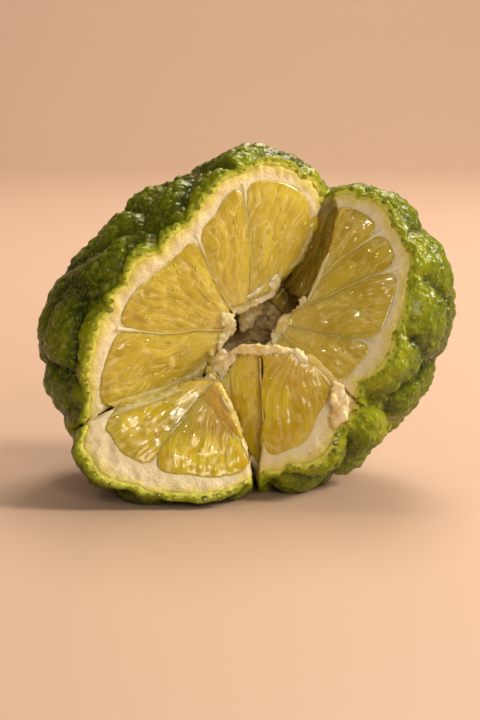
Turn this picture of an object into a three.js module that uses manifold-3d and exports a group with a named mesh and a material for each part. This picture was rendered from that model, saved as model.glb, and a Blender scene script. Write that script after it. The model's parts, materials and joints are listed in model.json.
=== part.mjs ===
// A makrut lime, cut across and torn open: a bumpy green rind over white pith,
// twelve pulp segments, and the white core that they grew round.
//
// Everything is designed in the fruit's own frame, in millimetres: u to the right and v up
// across the cut face, w out of it towards the front, with the origin at the fruit's centre.
// The fruit then leans back and stands on a flat spot, so the part's frame has +Z up, the cut
// face towards -Y and the origin under the middle of the part.
//
// Each tissue is a star-shaped body cut to the same "kept" space: a bowl that stays whole at
// the back, and in front of it four lobes that the tears part, each with its own cut face.

import * as THREE from "three";
import { mergeVertices } from "three/addons/utils/BufferGeometryUtils.js";
import Module from "manifold-3d";

const wasm = await Module();
wasm.setup();

const DEG = Math.PI / 180;

// ---------------------------------------------------------------- driving dimensions
const HALF_LENGTH = 35.4; // the body across its longer width
const HALF_HEIGHT = 29.7; // the body across its shorter width
const LENGTH_TURN = 22; // degrees that the longer width rises to the right
const BACK_DEPTH = 27; // centre to the stem end, behind the cut
const LEAN_BACK = 10; // degrees that the cut face tips upwards
const FLAT_DEPTH = 2.75; // how deep the flat spot that it stands on is pressed in

const RIND_WALL = 1.3; // green skin with its oil glands
const PITH_WALL = 2.3; // white layer under it
const PITH_WALL_BACK = 4.6; // the same at the stem end
const TISSUE_GAP = 0.3; // clearance between neighbouring solids
const MEMBRANE_GAP = 0.5; // clearance between neighbouring segments

const WART_COUNT = 112; // bumps over the whole rind
const WART_HEIGHT = 2.1; // crease to crown
const WART_UNDERSIDE = 0.6; // share of a bump that shows on the rind's inner side
const STEM_DIMPLE_DEPTH = 2.2;
const STEM_DIMPLE_ANGLE = 17; // degrees from the stem axis

// The tears, by the angle at which each one crosses the rim, anticlockwise from u.
const TEAR_TOP = 59.5;
const TEAR_LEFT = 211.8;
const TEAR_BOTTOM = 271.9;
const TEAR_RIGHT = 322.6;
const PINCH_DEPTH = 7.2; // how far the rind is drawn in at the top tear
const PINCH_SPREAD = 10; // degrees

// How far forward the body would reach from its centre if it were whole, by angle.
// The lower left lobe is bent outwards, so it has a reach and a flare of its own.
const FRONT_REACH = [
  [-37.4, 23.5],
  [0, 24],
  [30, 27],
  [60, 27],
  [95, 29.5],
  [110, 23],
  [135, 22.2],
  [158, 24],
  [185, 24.5],
  [212, 30],
];
const LOWER_RIGHT_REACH = [
  [273, 36],
  [290, 30],
  [310, 25],
  [322.6, 24],
];
const LOWER_LEFT_REACH = 60;
const FLARE_RUN = 12; // distance in front of the centre over which a bent lobe's flare grows
const LOWER_LEFT_FLARE = [
  [212, -0.05],
  [218, 0.03],
  [228, 0.08],
  [237, 0.09],
  [252, 0.04],
  [264, 0.01],
  [273, -0.04],
];

// How far the waist swells beyond an even oval, by angle.
const SWELL = [
  [0, 0.5],
  [35, -0.9],
  [86, 0],
  [128, -1.4],
  [150, -1.6],
  [172, 1.1],
  [214, 1.3],
  [240, 0],
  [272, -0.7],
  [299, 0.7],
  [327, -0.7],
  [360, 0.5],
];

// Cut faces: w = level + su * u + sv * v.
const LEFT_FACE = { level: 4.8, su: -0.48, sv: 0.27 };
const RIGHT_FACE = { level: 4.8, su: 0.4, sv: -0.28 };
const LOWER_RIGHT_FACE = { level: 12.0, su: 0.1, sv: 0 };
const SUNK_FACE = { level: 11.5, su: 0.1, sv: 0.2 };
const LOWER_LEFT_FACE = { level: 8.6, su: -0.1, sv: -0.28 };
const WEDGE_FRONT = { level: 14.8, su: 0.05, sv: -0.17 };
const WEDGE_LEFT = { level: 30.0, su: 1.0, sv: 0.75 };
const WEDGE_RIGHT = { level: 17.5, su: -1.1, sv: 0.25 };
const TEAR_SLOPE = { level: -13.2, su: 1.88, sv: -0.66 };

// Lobe outlines seen from the front, anticlockwise. FAR is safely outside the body.
const FAR = 48;
const LEFT_LOBE = [
  [17, 30], [12.6, 21.3], [10.8, 16.3], [8.4, 10.8], [3.5, 5.7], [-0.2, 3.1],
  [-3.2, 1.8], [-2.7, -1], [-5.2, -5], [-9.2, -9], [-14.3, -11.6], [-21.2, -13.1],
  [-27, -16.5], [-FAR, -28], [-FAR, FAR], [20, FAR],
].reverse();
const RIGHT_LOBE = [
  [20, FAR], [17, 30], [13.9, 22], [14.6, 17.6], [12.9, 10.6], [9.6, 3.2], [6.2, 0.4],
  [2.9, -4], [8.3, -5.4], [13.6, -9.6], [17.2, -13], [24, -19], [FAR, -36], [FAR, FAR],
];
const TEAR_SLOPE_LOBE = [
  [17, 30], [12.2, 21.6], [10.6, 16.5], [8.2, 11], [6.2, 6.4], [9.8, 3],
  [13.1, 10.4], [14.8, 17.6], [14.1, 22.2],
];
const LOWER_RIGHT_LOBE = [
  [1.9, -5.2], [8.1, -5.2], [10.1, -7], [13.4, -9.4], [17.2, -13], [24, -19], [FAR, -36],
  [FAR, -FAR], [2.6, -FAR], [2.4, -27], [2.0, -21],
];
const SUNK_LOBE = [
  [-6.2, -5.6], [-1.7, -4.6], [2.2, -5.2], [2.3, -21], [2.7, -27], [2.9, -FAR],
  [1.7, -FAR], [1.5, -27], [0.9, -22.4], [-0.7, -18.2], [-2.4, -13], [-4.4, -10], [-6.6, -8.4],
];
const LOWER_LEFT_LOBE = [
  [-7.6, -9.9], [-10, -10.6], [-16.8, -13.2], [-21.2, -14.3], [-27, -17.5], [-FAR, -29.2],
  [-FAR, -FAR], [0.6, -FAR], [0.4, -27], [-0.2, -22.4], [-1.8, -18.2], [-3.5, -13], [-5.4, -10.4],
];
const WEDGE_LOBE = [
  [-5.4, -10.2], [-10.2, -14.8], [-16.4, -21.4], [-19.5, -27], [-23, -FAR], [0.6, -FAR],
  [0.4, -27], [-0.2, -22.4], [-1.8, -18.2], [-3.5, -13],
];

// The bowl at the back that all the tears stop in: [distance from the axis, w].
const BOWL_TOP = [
  [0, -12], [9, -11.5], [16, -8.5], [22, -4], [27, 0.5], [32, 4.5], [FAR + 8, 15],
];
const BOWL_BOTTOM = -45;

// The core's outline, and the line of each membrane from the core outwards.
const CORE = [
  [-3.4, 2.4], [-7.4, -8.8], [-4.6, -10], [-1.8, -5.4], [5, -4], [8, 1], [3, 4.8],
];
const SEGMENTS = [
  // name of the segment that lies anticlockwise of this membrane, and the membrane
  { name: "segment_top", membrane: [[3.6, 2], [11.6, 12.4], [13.3, 20], [18, 36]] },
  { name: "segment_upper_left", membrane: [[0, 2], [0.3, 12], [-1.2, 22], [-2, 40]] },
  { name: "segment_left", membrane: [[-2, 0], [-5.5, 6], [-9.2, 14.5], [-17, 33]] },
  { name: "segment_lower_left", membrane: [[-3, -1.2], [-14.8, -2.2], [-22, -1.2], [-42, 2]] },
  {
    name: "flap_segment_outer",
    membrane: [[-6, -8], [-9.4, -9.6], [-14.3, -12.2], [-21.2, -13.7], [-40, -24.5]],
  },
  { name: "flap_segment_inner", membrane: [[-5, -8.6], [-10.2, -14.8], [-16.4, -21.4], [-25, -38]] },
  {
    name: "sunk_segment",
    membrane: [[-3.6, -7], [-3.0, -13], [-1.3, -18.2], [0.3, -22.4], [1.0, -27], [1.2, -44]],
  },
  { name: "lower_right_segment", membrane: [[1.2, -3], [2.1, -14], [2.3, -24], [2.8, -44]] },
  {
    name: "segment_right_bottom",
    membrane: [[4.4, -2], [8.2, -5.2], [13.5, -9.5], [17.2, -13], [36, -28]],
  },
  { name: "segment_right_low", membrane: [[5, -0.6], [20, -3.6], [42, -9]] },
  { name: "segment_right_high", membrane: [[5, 0.6], [19.3, 7.2], [23.5, 8.4], [42, 13]] },
  { name: "segment_right_top", membrane: [[5.4, 0.9], [14, 9.5], [22.5, 15.5], [36, 30]] },
];

// Mesh fineness, kept coarse: the smooth skin is not this model's job.
const COLUMN_STEP = 6; // degrees round the stem axis
const ROW_STEP = 6; // degrees from the front pole to the back
const FIRST_ROW = 30; // degrees: nothing is kept in front of this
const PULP_COLUMN_STEP = 10;
const PULP_ROW_STEP = 10;
const TEAR_EDGE = 0.6; // degrees each side of a tear over which the body steps

const COLOURS = {
  rind: { color: 0x4e7a1c, roughness: 0.42, metalness: 0 },
  pith: { color: 0xf2e6c4, roughness: 0.75, metalness: 0 },
  core: { color: 0xe8d3a4, roughness: 0.7, metalness: 0 },
  pulp: { color: 0xd9b43a, roughness: 0.25, metalness: 0 },
};

// ---------------------------------------------------------------- small maths
const clamp01 = (x) => Math.min(1, Math.max(0, x));
const smoothstep = (from, to, x) => {
  const t = clamp01((x - from) / (to - from));
  return t * t * (3 - 2 * t);
};
const mix = (a, b, t) => a + (b - a) * t;
const wrap = (angle, start) => ((((angle - start) % 360) + 360) % 360) + start;
const hash = (n) => {
  const s = Math.sin(n * 127.1 + 11.7) * 43758.5453;
  return s - Math.floor(s);
};

// Smooth curve through [angle, value] knots, flat at each knot's end.
function along(knots, angle) {
  if (angle <= knots[0][0]) return knots[0][1];
  for (let i = 1; i < knots.length; i++) {
    const [a0, v0] = knots[i - 1];
    const [a1, v1] = knots[i];
    if (angle <= a1) return mix(v0, v1, smoothstep(a0, a1, angle));
  }
  return knots[knots.length - 1][1];
}

// ---------------------------------------------------------------- the body's shape
// 1 inside the span of angles, 0 outside, with edges of the widths given.
function within(angle, from, to, edgeFrom, edgeTo) {
  const a = wrap(angle, from - 60);
  return smoothstep(from - edgeFrom, from + edgeFrom, a) * (1 - smoothstep(to - edgeTo, to + edgeTo, a));
}

function frontReach(angle) {
  const whole = along(FRONT_REACH, wrap(angle, TEAR_RIGHT - 360 - 0.01));
  const right = along(LOWER_RIGHT_REACH, wrap(angle, TEAR_LEFT));
  const inRight = within(angle, TEAR_BOTTOM, TEAR_RIGHT, TEAR_EDGE, TEAR_EDGE);
  const inLeft = within(angle, TEAR_LEFT, TEAR_BOTTOM, TEAR_EDGE, TEAR_EDGE);
  return mix(mix(whole, right, inRight), LOWER_LEFT_REACH, inLeft);
}

// Bump centres: an even spiral over the sphere, each moved a little.
const WARTS = Array.from({ length: WART_COUNT }, (_, i) => {
  const turn = i * 2.399963 + (hash(i) - 0.5) * 0.5;
  const w = 1 - (2 * (i + 0.5)) / WART_COUNT + (hash(i + 500) - 0.5) * 0.06;
  const flat = Math.sqrt(Math.max(0, 1 - w * w));
  return {
    at: new THREE.Vector3(flat * Math.cos(turn), flat * Math.sin(turn), w),
    crown: 0.65 + 0.5 * hash(i + 900),
  };
});

// 0 in the creases between bumps, up to about 1 on their crowns.
function wartiness(direction) {
  let nearest = 9;
  let second = 9;
  let crown = 1;
  for (const wart of WARTS) {
    const d = wart.at.distanceTo(direction);
    if (d < nearest) {
      second = nearest;
      nearest = d;
      crown = wart.crown;
    } else if (d < second) second = d;
  }
  return crown * (1 - (nearest / second) ** 2);
}

// Distance from the centre to the smooth envelope over the bumps.
function envelope(direction) {
  const angle = Math.atan2(direction.y, direction.x) / DEG;
  const turned = (angle - LENGTH_TURN) * DEG;
  const flat = Math.hypot(direction.x, direction.y);
  const depth = direction.z > 0 ? frontReach(angle) : BACK_DEPTH;
  const waist =
    1 / Math.hypot(Math.cos(turned) / HALF_LENGTH, Math.sin(turned) / HALF_HEIGHT) +
    along(SWELL, wrap(angle, 0));
  const radius = 1 / Math.hypot(flat / waist, direction.z / depth);
  const w = radius * direction.z;
  const inLeft = within(angle, TEAR_LEFT, TEAR_BOTTOM, TEAR_EDGE, TEAR_EDGE);
  const flare = along(LOWER_LEFT_FLARE, wrap(angle, 0)) * inLeft * smoothstep(0, FLARE_RUN, w);
  const fromTear = Math.abs(wrap(angle, TEAR_TOP - 180) - TEAR_TOP);
  const pinch = PINCH_DEPTH * Math.exp(-fromTear / PINCH_SPREAD) * smoothstep(-16, 2, w);
  const fromStem = Math.acos(clamp01(-direction.z)) / DEG;
  const dimple = STEM_DIMPLE_DEPTH * (1 - smoothstep(0, STEM_DIMPLE_ANGLE, fromStem));
  return radius * (1 + flare) - pinch - dimple;
}

// Distance from the centre to the surface that the fruit stands on.
const DOWN = new THREE.Vector3(0, -Math.cos(LEAN_BACK * DEG), -Math.sin(LEAN_BACK * DEG));
const REST_HEIGHT = envelope(DOWN) - FLAT_DEPTH;
const toTable = (direction) => {
  const fall = direction.dot(DOWN);
  return fall > 0.2 ? REST_HEIGHT / fall : Infinity;
};

const skinRadius = (d) => Math.min(envelope(d) - WART_HEIGHT * (1 - wartiness(d)), toTable(d));
const underRadius = (d) =>
  Math.min(
    envelope(d) - WART_HEIGHT * (WART_UNDERSIDE * (1 - wartiness(d)) + 1 - WART_UNDERSIDE) - RIND_WALL,
    skinRadius(d) - RIND_WALL,
  );
const pithRadius = (d) => underRadius(d) - TISSUE_GAP;
const pithWall = (d) => mix(PITH_WALL, PITH_WALL_BACK, smoothstep(-0.3, -1, d.z));
const cavityRadius = (d) =>
  Math.min(envelope(d) - WART_HEIGHT * 0.75, toTable(d)) - RIND_WALL - TISSUE_GAP - pithWall(d);
const pulpRadius = (d) => cavityRadius(d) - TISSUE_GAP;

// ---------------------------------------------------------------- solids
function solidOf(geometry) {
  const bare = geometry.clone();
  for (const name of Object.keys(bare.attributes)) if (name !== "position") bare.deleteAttribute(name);
  const merged = mergeVertices(bare, 1e-4);
  return new wasm.Manifold(
    new wasm.Mesh({
      numProp: 3,
      vertProperties: new Float32Array(merged.attributes.position.array),
      triVerts: new Uint32Array(merged.index.array),
    }),
  );
}

function geometryOf(solid) {
  const mesh = solid.getMesh();
  const position = new Float32Array(mesh.numVert * 3);
  for (let i = 0; i < mesh.numVert; i++)
    position.set(mesh.vertProperties.subarray(i * mesh.numProp, i * mesh.numProp + 3), i * 3);
  const geometry = new THREE.BufferGeometry();
  geometry.setAttribute("position", new THREE.BufferAttribute(position, 3));
  geometry.setIndex(new THREE.BufferAttribute(new Uint32Array(mesh.triVerts), 1));
  geometry.computeVertexNormals();
  return geometry;
}

// Angles of the grid's columns: even steps, with a pair close to each tear's edges.
function columnAngles(step) {
  const tears = [TEAR_LEFT, TEAR_BOTTOM, TEAR_RIGHT];
  const even = [];
  for (let a = 0; a < 360; a += step) {
    if (tears.every((tear) => Math.abs(tear - a) > step * 0.6)) even.push(a);
  }
  const edges = tears.flatMap((tear) => [tear - TEAR_EDGE, tear + TEAR_EDGE]);
  return [...even, ...edges, TEAR_TOP].sort((a, b) => a - b);
}

// A closed body whose surface lies at radiusAt(direction) from the centre.
function starBody(radiusAt, columnStep, rowStep) {
  const columns = columnAngles(columnStep);
  const rows = [];
  for (let a = FIRST_ROW; a < 180; a += rowStep) rows.push(a);
  const points = [];
  const put = (fromFront, round) => {
    const flat = Math.sin(fromFront * DEG);
    const direction = new THREE.Vector3(
      flat * Math.cos(round * DEG),
      flat * Math.sin(round * DEG),
      Math.cos(fromFront * DEG),
    );
    points.push(direction.clone().multiplyScalar(radiusAt(direction)));
  };
  put(0, 0);
  for (const row of rows) for (const column of columns) put(row, column);
  put(180, 0);
  const at = (row, column) => 1 + row * columns.length + (column % columns.length);
  const last = points.length - 1;
  const faces = [];
  for (let c = 0; c < columns.length; c++) {
    faces.push(0, at(0, c), at(0, c + 1));
    for (let r = 0; r + 1 < rows.length; r++) {
      faces.push(at(r, c), at(r + 1, c), at(r + 1, c + 1));
      faces.push(at(r, c), at(r + 1, c + 1), at(r, c + 1));
    }
    faces.push(at(rows.length - 1, c), last, at(rows.length - 1, c + 1));
  }
  const geometry = new THREE.BufferGeometry().setFromPoints(points);
  geometry.setIndex(faces);
  return solidOf(geometry);
}

// A column along w over an outline, from far behind up to a slanting face.
function prism(outline, face) {
  const shape = new THREE.Shape(outline.map(([u, v]) => new THREE.Vector2(u, v)));
  const geometry = new THREE.ExtrudeGeometry(shape, { depth: 1, bevelEnabled: false });
  const position = geometry.attributes.position;
  for (let i = 0; i < position.count; i++) {
    const top = face.level + face.su * position.getX(i) + face.sv * position.getY(i);
    position.setZ(i, position.getZ(i) > 0.5 ? top : BOWL_BOTTOM);
  }
  return solidOf(geometry);
}

function bowl() {
  const profile = [[0, BOWL_BOTTOM], [FAR + 8, BOWL_BOTTOM], ...[...BOWL_TOP].reverse()];
  const lathe = new THREE.LatheGeometry(
    profile.map(([r, w]) => new THREE.Vector2(r, w)),
    24,
  );
  lathe.rotateX(Math.PI / 2);
  return solidOf(lathe);
}

// A thin wall along a line of points, through the whole depth: the room that a membrane takes.
function membraneRoom(line) {
  const wall = (from, to) => {
    const length = Math.hypot(to[0] - from[0], to[1] - from[1]);
    const box = new THREE.BoxGeometry(length + MEMBRANE_GAP, MEMBRANE_GAP, 120);
    box.rotateZ(Math.atan2(to[1] - from[1], to[0] - from[0]));
    box.translate((from[0] + to[0]) / 2, (from[1] + to[1]) / 2, 0);
    return solidOf(box);
  };
  return line.slice(1).map((to, i) => wall(line[i], to)).reduce((a, b) => a.add(b));
}

// The outline grown outwards by a distance, corner by corner.
function grown(outline, by) {
  const count = outline.length;
  return outline.map(([u, v], i) => {
    const [pu, pv] = outline[(i + count - 1) % count];
    const [nu, nv] = outline[(i + 1) % count];
    const before = new THREE.Vector2(v - pv, pu - u).normalize();
    const after = new THREE.Vector2(nv - v, u - nu).normalize();
    const corner = before.clone().add(after);
    corner.multiplyScalar((2 * by) / corner.lengthSq());
    return [u + corner.x, v + corner.y];
  });
}

function keptSpace() {
  const wedge = [WEDGE_FRONT, WEDGE_LEFT, WEDGE_RIGHT]
    .map((face) => prism(WEDGE_LOBE, face))
    .reduce((a, b) => a.intersect(b));
  return [
    bowl(),
    prism(LEFT_LOBE, LEFT_FACE),
    prism(RIGHT_LOBE, RIGHT_FACE),
    prism(TEAR_SLOPE_LOBE, TEAR_SLOPE),
    prism(LOWER_RIGHT_LOBE, LOWER_RIGHT_FACE),
    prism(SUNK_LOBE, SUNK_FACE),
    prism(LOWER_LEFT_LOBE, LOWER_LEFT_FACE),
    wedge,
  ].reduce((a, b) => a.add(b));
}

// ---------------------------------------------------------------- the tissues
const kept = keptSpace();
const FLAT_FACE = { level: 60, su: 0, sv: 0 };

function makeRind() {
  const skin = starBody(skinRadius, COLUMN_STEP, ROW_STEP);
  const under = starBody(underRadius, COLUMN_STEP, ROW_STEP);
  return skin.subtract(under).intersect(kept);
}

function makePith() {
  const outside = starBody(pithRadius, COLUMN_STEP, ROW_STEP);
  const inside = starBody(cavityRadius, PULP_COLUMN_STEP, PULP_ROW_STEP);
  return outside.subtract(inside).intersect(kept);
}

function makeCore(pulp) {
  return pulp.intersect(prism(CORE, FLAT_FACE));
}

// Cuts the pulp along the membranes, and hands each piece the name of the segment it is.
function makeSegments(pulp) {
  const room = SEGMENTS.map(({ membrane }) => membraneRoom(membrane)).reduce((a, b) => a.add(b));
  const cut = pulp.subtract(prism(grown(CORE, TISSUE_GAP), FLAT_FACE)).subtract(room);
  const pieces = cut.decompose().filter((piece) => piece.volume() > 20);
  const sorted = pieces.map((piece) => {
    const box = piece.boundingBox();
    const middle = [(box.min[0] + box.max[0]) / 2, (box.min[1] + box.max[1]) / 2];
    return { piece, angle: Math.atan2(middle[1] - PIECE_CENTRE[1], middle[0] - PIECE_CENTRE[0]) / DEG };
  });
  const start = Math.atan2(13 - PIECE_CENTRE[1], 11 - PIECE_CENTRE[0]) / DEG;
  sorted.sort((a, b) => wrap(a.angle, start) - wrap(b.angle, start));
  return sorted.map(({ piece }, i) => ({ name: SEGMENTS[i].name, piece }));
}
const PIECE_CENTRE = [0, -2];

// ---------------------------------------------------------------- assembly
const fruit = new THREE.Group();
fruit.rotation.x = (90 - LEAN_BACK) * DEG;
fruit.position.z = REST_HEIGHT;

function addMesh(name, solid, look) {
  const mesh = new THREE.Mesh(geometryOf(solid), new THREE.MeshStandardMaterial(COLOURS[look]));
  mesh.name = name;
  fruit.add(mesh);
}

const pulp = starBody(pulpRadius, PULP_COLUMN_STEP, PULP_ROW_STEP).intersect(kept);
addMesh("rind", makeRind(), "rind");
addMesh("pith", makePith(), "pith");
addMesh("core", makeCore(pulp), "core");
for (const { name, piece } of makeSegments(pulp)) addMesh(name, piece, "pulp");

const part = new THREE.Group();
part.add(fruit);
part.updateMatrixWorld(true);
const box = new THREE.Box3().setFromObject(part, true);
part.position.set(-(box.min.x + box.max.x) / 2, -(box.min.y + box.max.y) / 2, -box.min.z);

export default part;
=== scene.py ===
"""A makrut lime, cut across and torn open, built round the packed frame.

The fruit's own frame is in millimetres: u to the right and v up across the cut face, w out of
it towards the front, with the origin at the fruit's centre. Every tissue is a field over that
space, negative inside, whose zero surface becomes a mesh. to_part() then leans the fruit back
and puts it where the frame has it.
"""

import json
import math

import bpy
import numpy as np
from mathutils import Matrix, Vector

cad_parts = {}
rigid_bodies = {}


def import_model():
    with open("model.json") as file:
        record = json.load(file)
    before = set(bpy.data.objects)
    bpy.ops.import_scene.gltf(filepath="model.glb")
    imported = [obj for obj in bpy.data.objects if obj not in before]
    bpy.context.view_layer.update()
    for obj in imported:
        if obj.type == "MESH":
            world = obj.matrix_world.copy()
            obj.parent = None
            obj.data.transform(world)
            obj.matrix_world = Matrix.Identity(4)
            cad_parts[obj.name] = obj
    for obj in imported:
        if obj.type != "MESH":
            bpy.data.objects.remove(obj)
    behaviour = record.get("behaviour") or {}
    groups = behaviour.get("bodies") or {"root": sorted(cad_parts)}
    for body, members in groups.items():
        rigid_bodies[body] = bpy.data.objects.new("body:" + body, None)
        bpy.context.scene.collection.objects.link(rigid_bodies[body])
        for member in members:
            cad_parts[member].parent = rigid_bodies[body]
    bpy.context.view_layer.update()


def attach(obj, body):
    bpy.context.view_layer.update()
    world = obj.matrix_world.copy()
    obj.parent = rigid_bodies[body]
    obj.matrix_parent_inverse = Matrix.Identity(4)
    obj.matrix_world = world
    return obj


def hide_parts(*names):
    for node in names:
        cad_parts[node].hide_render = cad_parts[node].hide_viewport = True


bl_info = {
    "name": "Torn makrut lime",
    "version": (1, 0, 0),
    "blender": (4, 5, 0),
    "location": "View3D > Sidebar > Lime",
    "description": "Builds a makrut lime that is cut across and torn open",
    "category": "Add Mesh",
}

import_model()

MM = 0.001
LEAN_BACK = math.radians(10)
CENTRE = (0.505, -1.944, 26.803)  # the fruit's centre in the part's frame, mm

# ---------------------------------------------------------------- the fruit's sizes, in mm
HALF_LENGTH = 35.4
HALF_HEIGHT = 29.7
LENGTH_TURN = 22
BACK_DEPTH = 27
REST_HEIGHT = 26.803
RIND_WALL = 1.3
PITH_WALL = 2.3
PITH_WALL_BACK = 4.6
FLAP_PITH_EXTRA = 2.1
LOWER_RIGHT_PITH_EXTRA = 1.1
PULP_ROOM = 0.25  # how much the pulp presses into the pith
TISSUE_GAP = 0.3
WART_COUNT = 112
WART_HEIGHT = 2.1
WART_UNDERSIDE = 0.6
STEM_DIMPLE_DEPTH = 2.2
STEM_DIMPLE_ANGLE = 17
TEAR_TOP = 59.5
TEAR_LEFT = 211.8
TEAR_BOTTOM = 271.9
TEAR_RIGHT = 322.6
TEAR_EDGE = 0.6
PINCH_DEPTH = 7.2
PINCH_SPREAD = 10
FLARE_RUN = 12
LOWER_LEFT_REACH = 60
FRONT_REACH = (
    (-37.4, 23.5), (0, 24), (30, 27), (60, 27), (95, 29.5), (110, 23), (135, 22.2), (158, 24),
    (185, 24.5), (212, 30),
)
LOWER_RIGHT_REACH = ((273, 36), (290, 30), (310, 25), (322.6, 24))
LOWER_LEFT_FLARE = (
    (212, -0.05), (218, 0.03), (228, 0.08), (237, 0.09), (252, 0.04), (264, 0.01), (273, -0.04),
)
SWELL = (
    (0, 0.5), (35, -0.9), (86, 0), (128, -1.4), (150, -1.6), (172, 1.1), (214, 1.3), (240, 0),
    (272, -0.7), (299, 0.7), (327, -0.7), (360, 0.5),
)

# Cut faces, w = level + su * u + sv * v.
LEFT_FACE = (4.8, -0.48, 0.27)
RIGHT_FACE = (4.8, 0.4, -0.28)
LOWER_RIGHT_FACE = (12.0, 0.1, 0)
SUNK_FACE = (11.5, 0.1, 0.2)
LOWER_LEFT_FACE = (8.6, -0.1, -0.28)
WEDGE_FACES = ((14.8, 0.05, -0.17), (30.0, 1.0, 0.75), (17.5, -1.1, 0.25))
TEAR_SLOPE_FACE = (-13.2, 1.88, -0.66)

FAR = 48
LOBES = {
    "left": (
        (
            (20, FAR), (-FAR, FAR), (-FAR, -28), (-27, -16.5), (-21.2, -13.1), (-14.3, -11.6),
            (-9.2, -9), (-5.2, -5), (-2.7, -1), (-3.2, 1.8), (-0.2, 3.1), (3.5, 5.7),
            (8.4, 10.8), (10.8, 16.3), (12.6, 21.3), (17, 30),
        ),
        (LEFT_FACE,),
    ),
    "right": (
        (
            (20, FAR), (17, 30), (13.9, 22), (14.6, 17.6), (12.9, 10.6), (9.6, 3.2), (6.2, 0.4),
            (2.9, -4), (8.3, -5.4), (13.6, -9.6), (17.2, -13), (24, -19), (FAR, -36), (FAR, FAR),
        ),
        (RIGHT_FACE,),
    ),
    "tear_slope": (
        (
            (17, 30), (12.2, 21.6), (10.6, 16.5), (8.2, 11), (6.2, 6.4), (9.8, 3),
            (13.1, 10.4), (14.8, 17.6), (14.1, 22.2),
        ),
        (TEAR_SLOPE_FACE,),
    ),
    "lower_right": (
        (
            (1.9, -5.2), (8.1, -5.2), (10.1, -7), (13.4, -9.4), (17.2, -13), (24, -19),
            (FAR, -36), (FAR, -FAR), (1.4, -FAR), (1.3, -27), (1.7, -24), (2.0, -21),
        ),
        (LOWER_RIGHT_FACE,),
    ),
    "sunk": (
        (
            (-6.2, -5.6), (-1.7, -4.6), (2.2, -5.2), (2.3, -21), (2.7, -27), (2.9, -FAR),
            (1.5, -FAR), (1.3, -27), (0.3, -22.4), (-1.4, -18.2), (-3.1, -13), (-5.0, -10.2),
            (-7.4, -8.6),
        ),
        (SUNK_FACE,),
    ),
    "lower_left": (
        (
            (-7.4, -9.7), (-10, -10.1), (-16.7, -12.6), (-21.2, -13.8), (-27, -17.2),
            (-FAR, -29.2), (-FAR, -FAR), (0.6, -FAR), (0.4, -27), (-0.2, -22.4), (-1.8, -18.2),
            (-3.5, -13), (-5.4, -10.4),
        ),
        (LOWER_LEFT_FACE,),
    ),
    "wedge": (
        (
            (-5.4, -10.2), (-10.2, -14.8), (-16.4, -21.4), (-19.5, -27), (-23, -FAR),
            (0.6, -FAR), (0.4, -27), (-0.2, -22.4), (-1.8, -18.2), (-3.5, -13),
        ),
        WEDGE_FACES,
    ),
}
BOWL_TOP = (
    (0, -9), (9, -9), (16, -8), (22, -4), (27, 0.5), (32, 4.5), (FAR + 8, 15),
)
CORE = (
    (-3.2, 2.2), (-3.9, -1.5), (-6.6, -7.2), (-4.6, -9.4), (-1.8, -5.4), (3.6, -4.6), (6.4, 0.6),
    (3, 4.4),
)

# Each segment, the line of the membrane clockwise of it, and where its juice sacs converge.
SEGMENTS = (
    ("segment_top", ((3.6, 2), (11.6, 12.4), (13.3, 20), (18, 36)), (-0.6, 1.2)),
    ("segment_upper_left", ((0, 2), (0.3, 12), (-1.2, 22), (-2, 40)), (-2.4, 1.0)),
    ("segment_left", ((-2, 0), (-5.5, 6), (-9.2, 14.5), (-17, 33)), (-2.6, -1.4)),
    ("segment_lower_left", ((-3, -1.2), (-14.8, -2.2), (-22, -1.2), (-42, 2)), (-2.6, -2.4)),
    (
        "flap_segment_outer",
        ((-6, -8), (-9.4, -9.6), (-14.3, -12.2), (-21.2, -13.7), (-40, -24.5)),
        (-4.6, -8.6),
    ),
    ("flap_segment_inner", ((-5, -8.6), (-9.6, -14.2), (-14.4, -20.4), (-22, -38)), (-5.2, -12)),
    (
        "sunk_segment",
        ((-3.6, -7), (-3.0, -13), (-1.3, -18.2), (0.3, -22.4), (1.0, -27), (1.2, -44)),
        (-0.6, -1),
    ),
    ("lower_right_segment", ((1.2, -3), (2.1, -14), (2.3, -24), (2.8, -44)), (8.4, -4.6)),
    (
        "segment_right_bottom",
        ((4.4, -2), (8.2, -5.2), (13.5, -9.5), (17.2, -13), (36, -28)),
        (5.8, -1),
    ),
    ("segment_right_low", ((5, -0.6), (20, -3.6), (42, -9)), (6.0, 0)),
    ("segment_right_high", ((5, 0.6), (19.3, 7.2), (23.5, 8.4), (42, 13)), (6.8, 0)),
    ("segment_right_top", ((5.4, 0.9), (14, 9.5), (22.5, 15.5), (36, 30)), (6.8, -1)),
)
TORN_MEMBRANES = (0, 4, 6, 8)  # the tears run along these


# ---------------------------------------------------------------- settings a user can change
def length_setting(label, text, default):
    return bpy.props.FloatProperty(name=label, description=text, default=default, min=0, precision=3)


def colour_setting(label, text, default):
    return bpy.props.FloatVectorProperty(name=label, description=text, subtype="COLOR", default=default)


class LimeSizes(bpy.types.PropertyGroup):
    """Sizes of the finish, in millimetres."""

    lobule_height: length_setting("Lobule height", "Height of the small bumps on each wart", 0.5)
    gland_depth: length_setting("Gland pit depth", "Depth of the pits over the oil glands", 0.17)
    sac_relief: length_setting("Juice sac relief", "How far the sacs stand out of a face", 0.13)
    sac_width: length_setting("Juice sac width", "Width of a sac halfway along a segment", 1.5)
    sac_length: length_setting("Juice sac length", "Length of a sac", 7.5)
    membrane_wall: length_setting("Membrane thickness", "Wall between two segments", 0.34)
    pulp_swell: length_setting("Pulp swell", "How far the pulp swells over the cut", 0.35)


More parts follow.
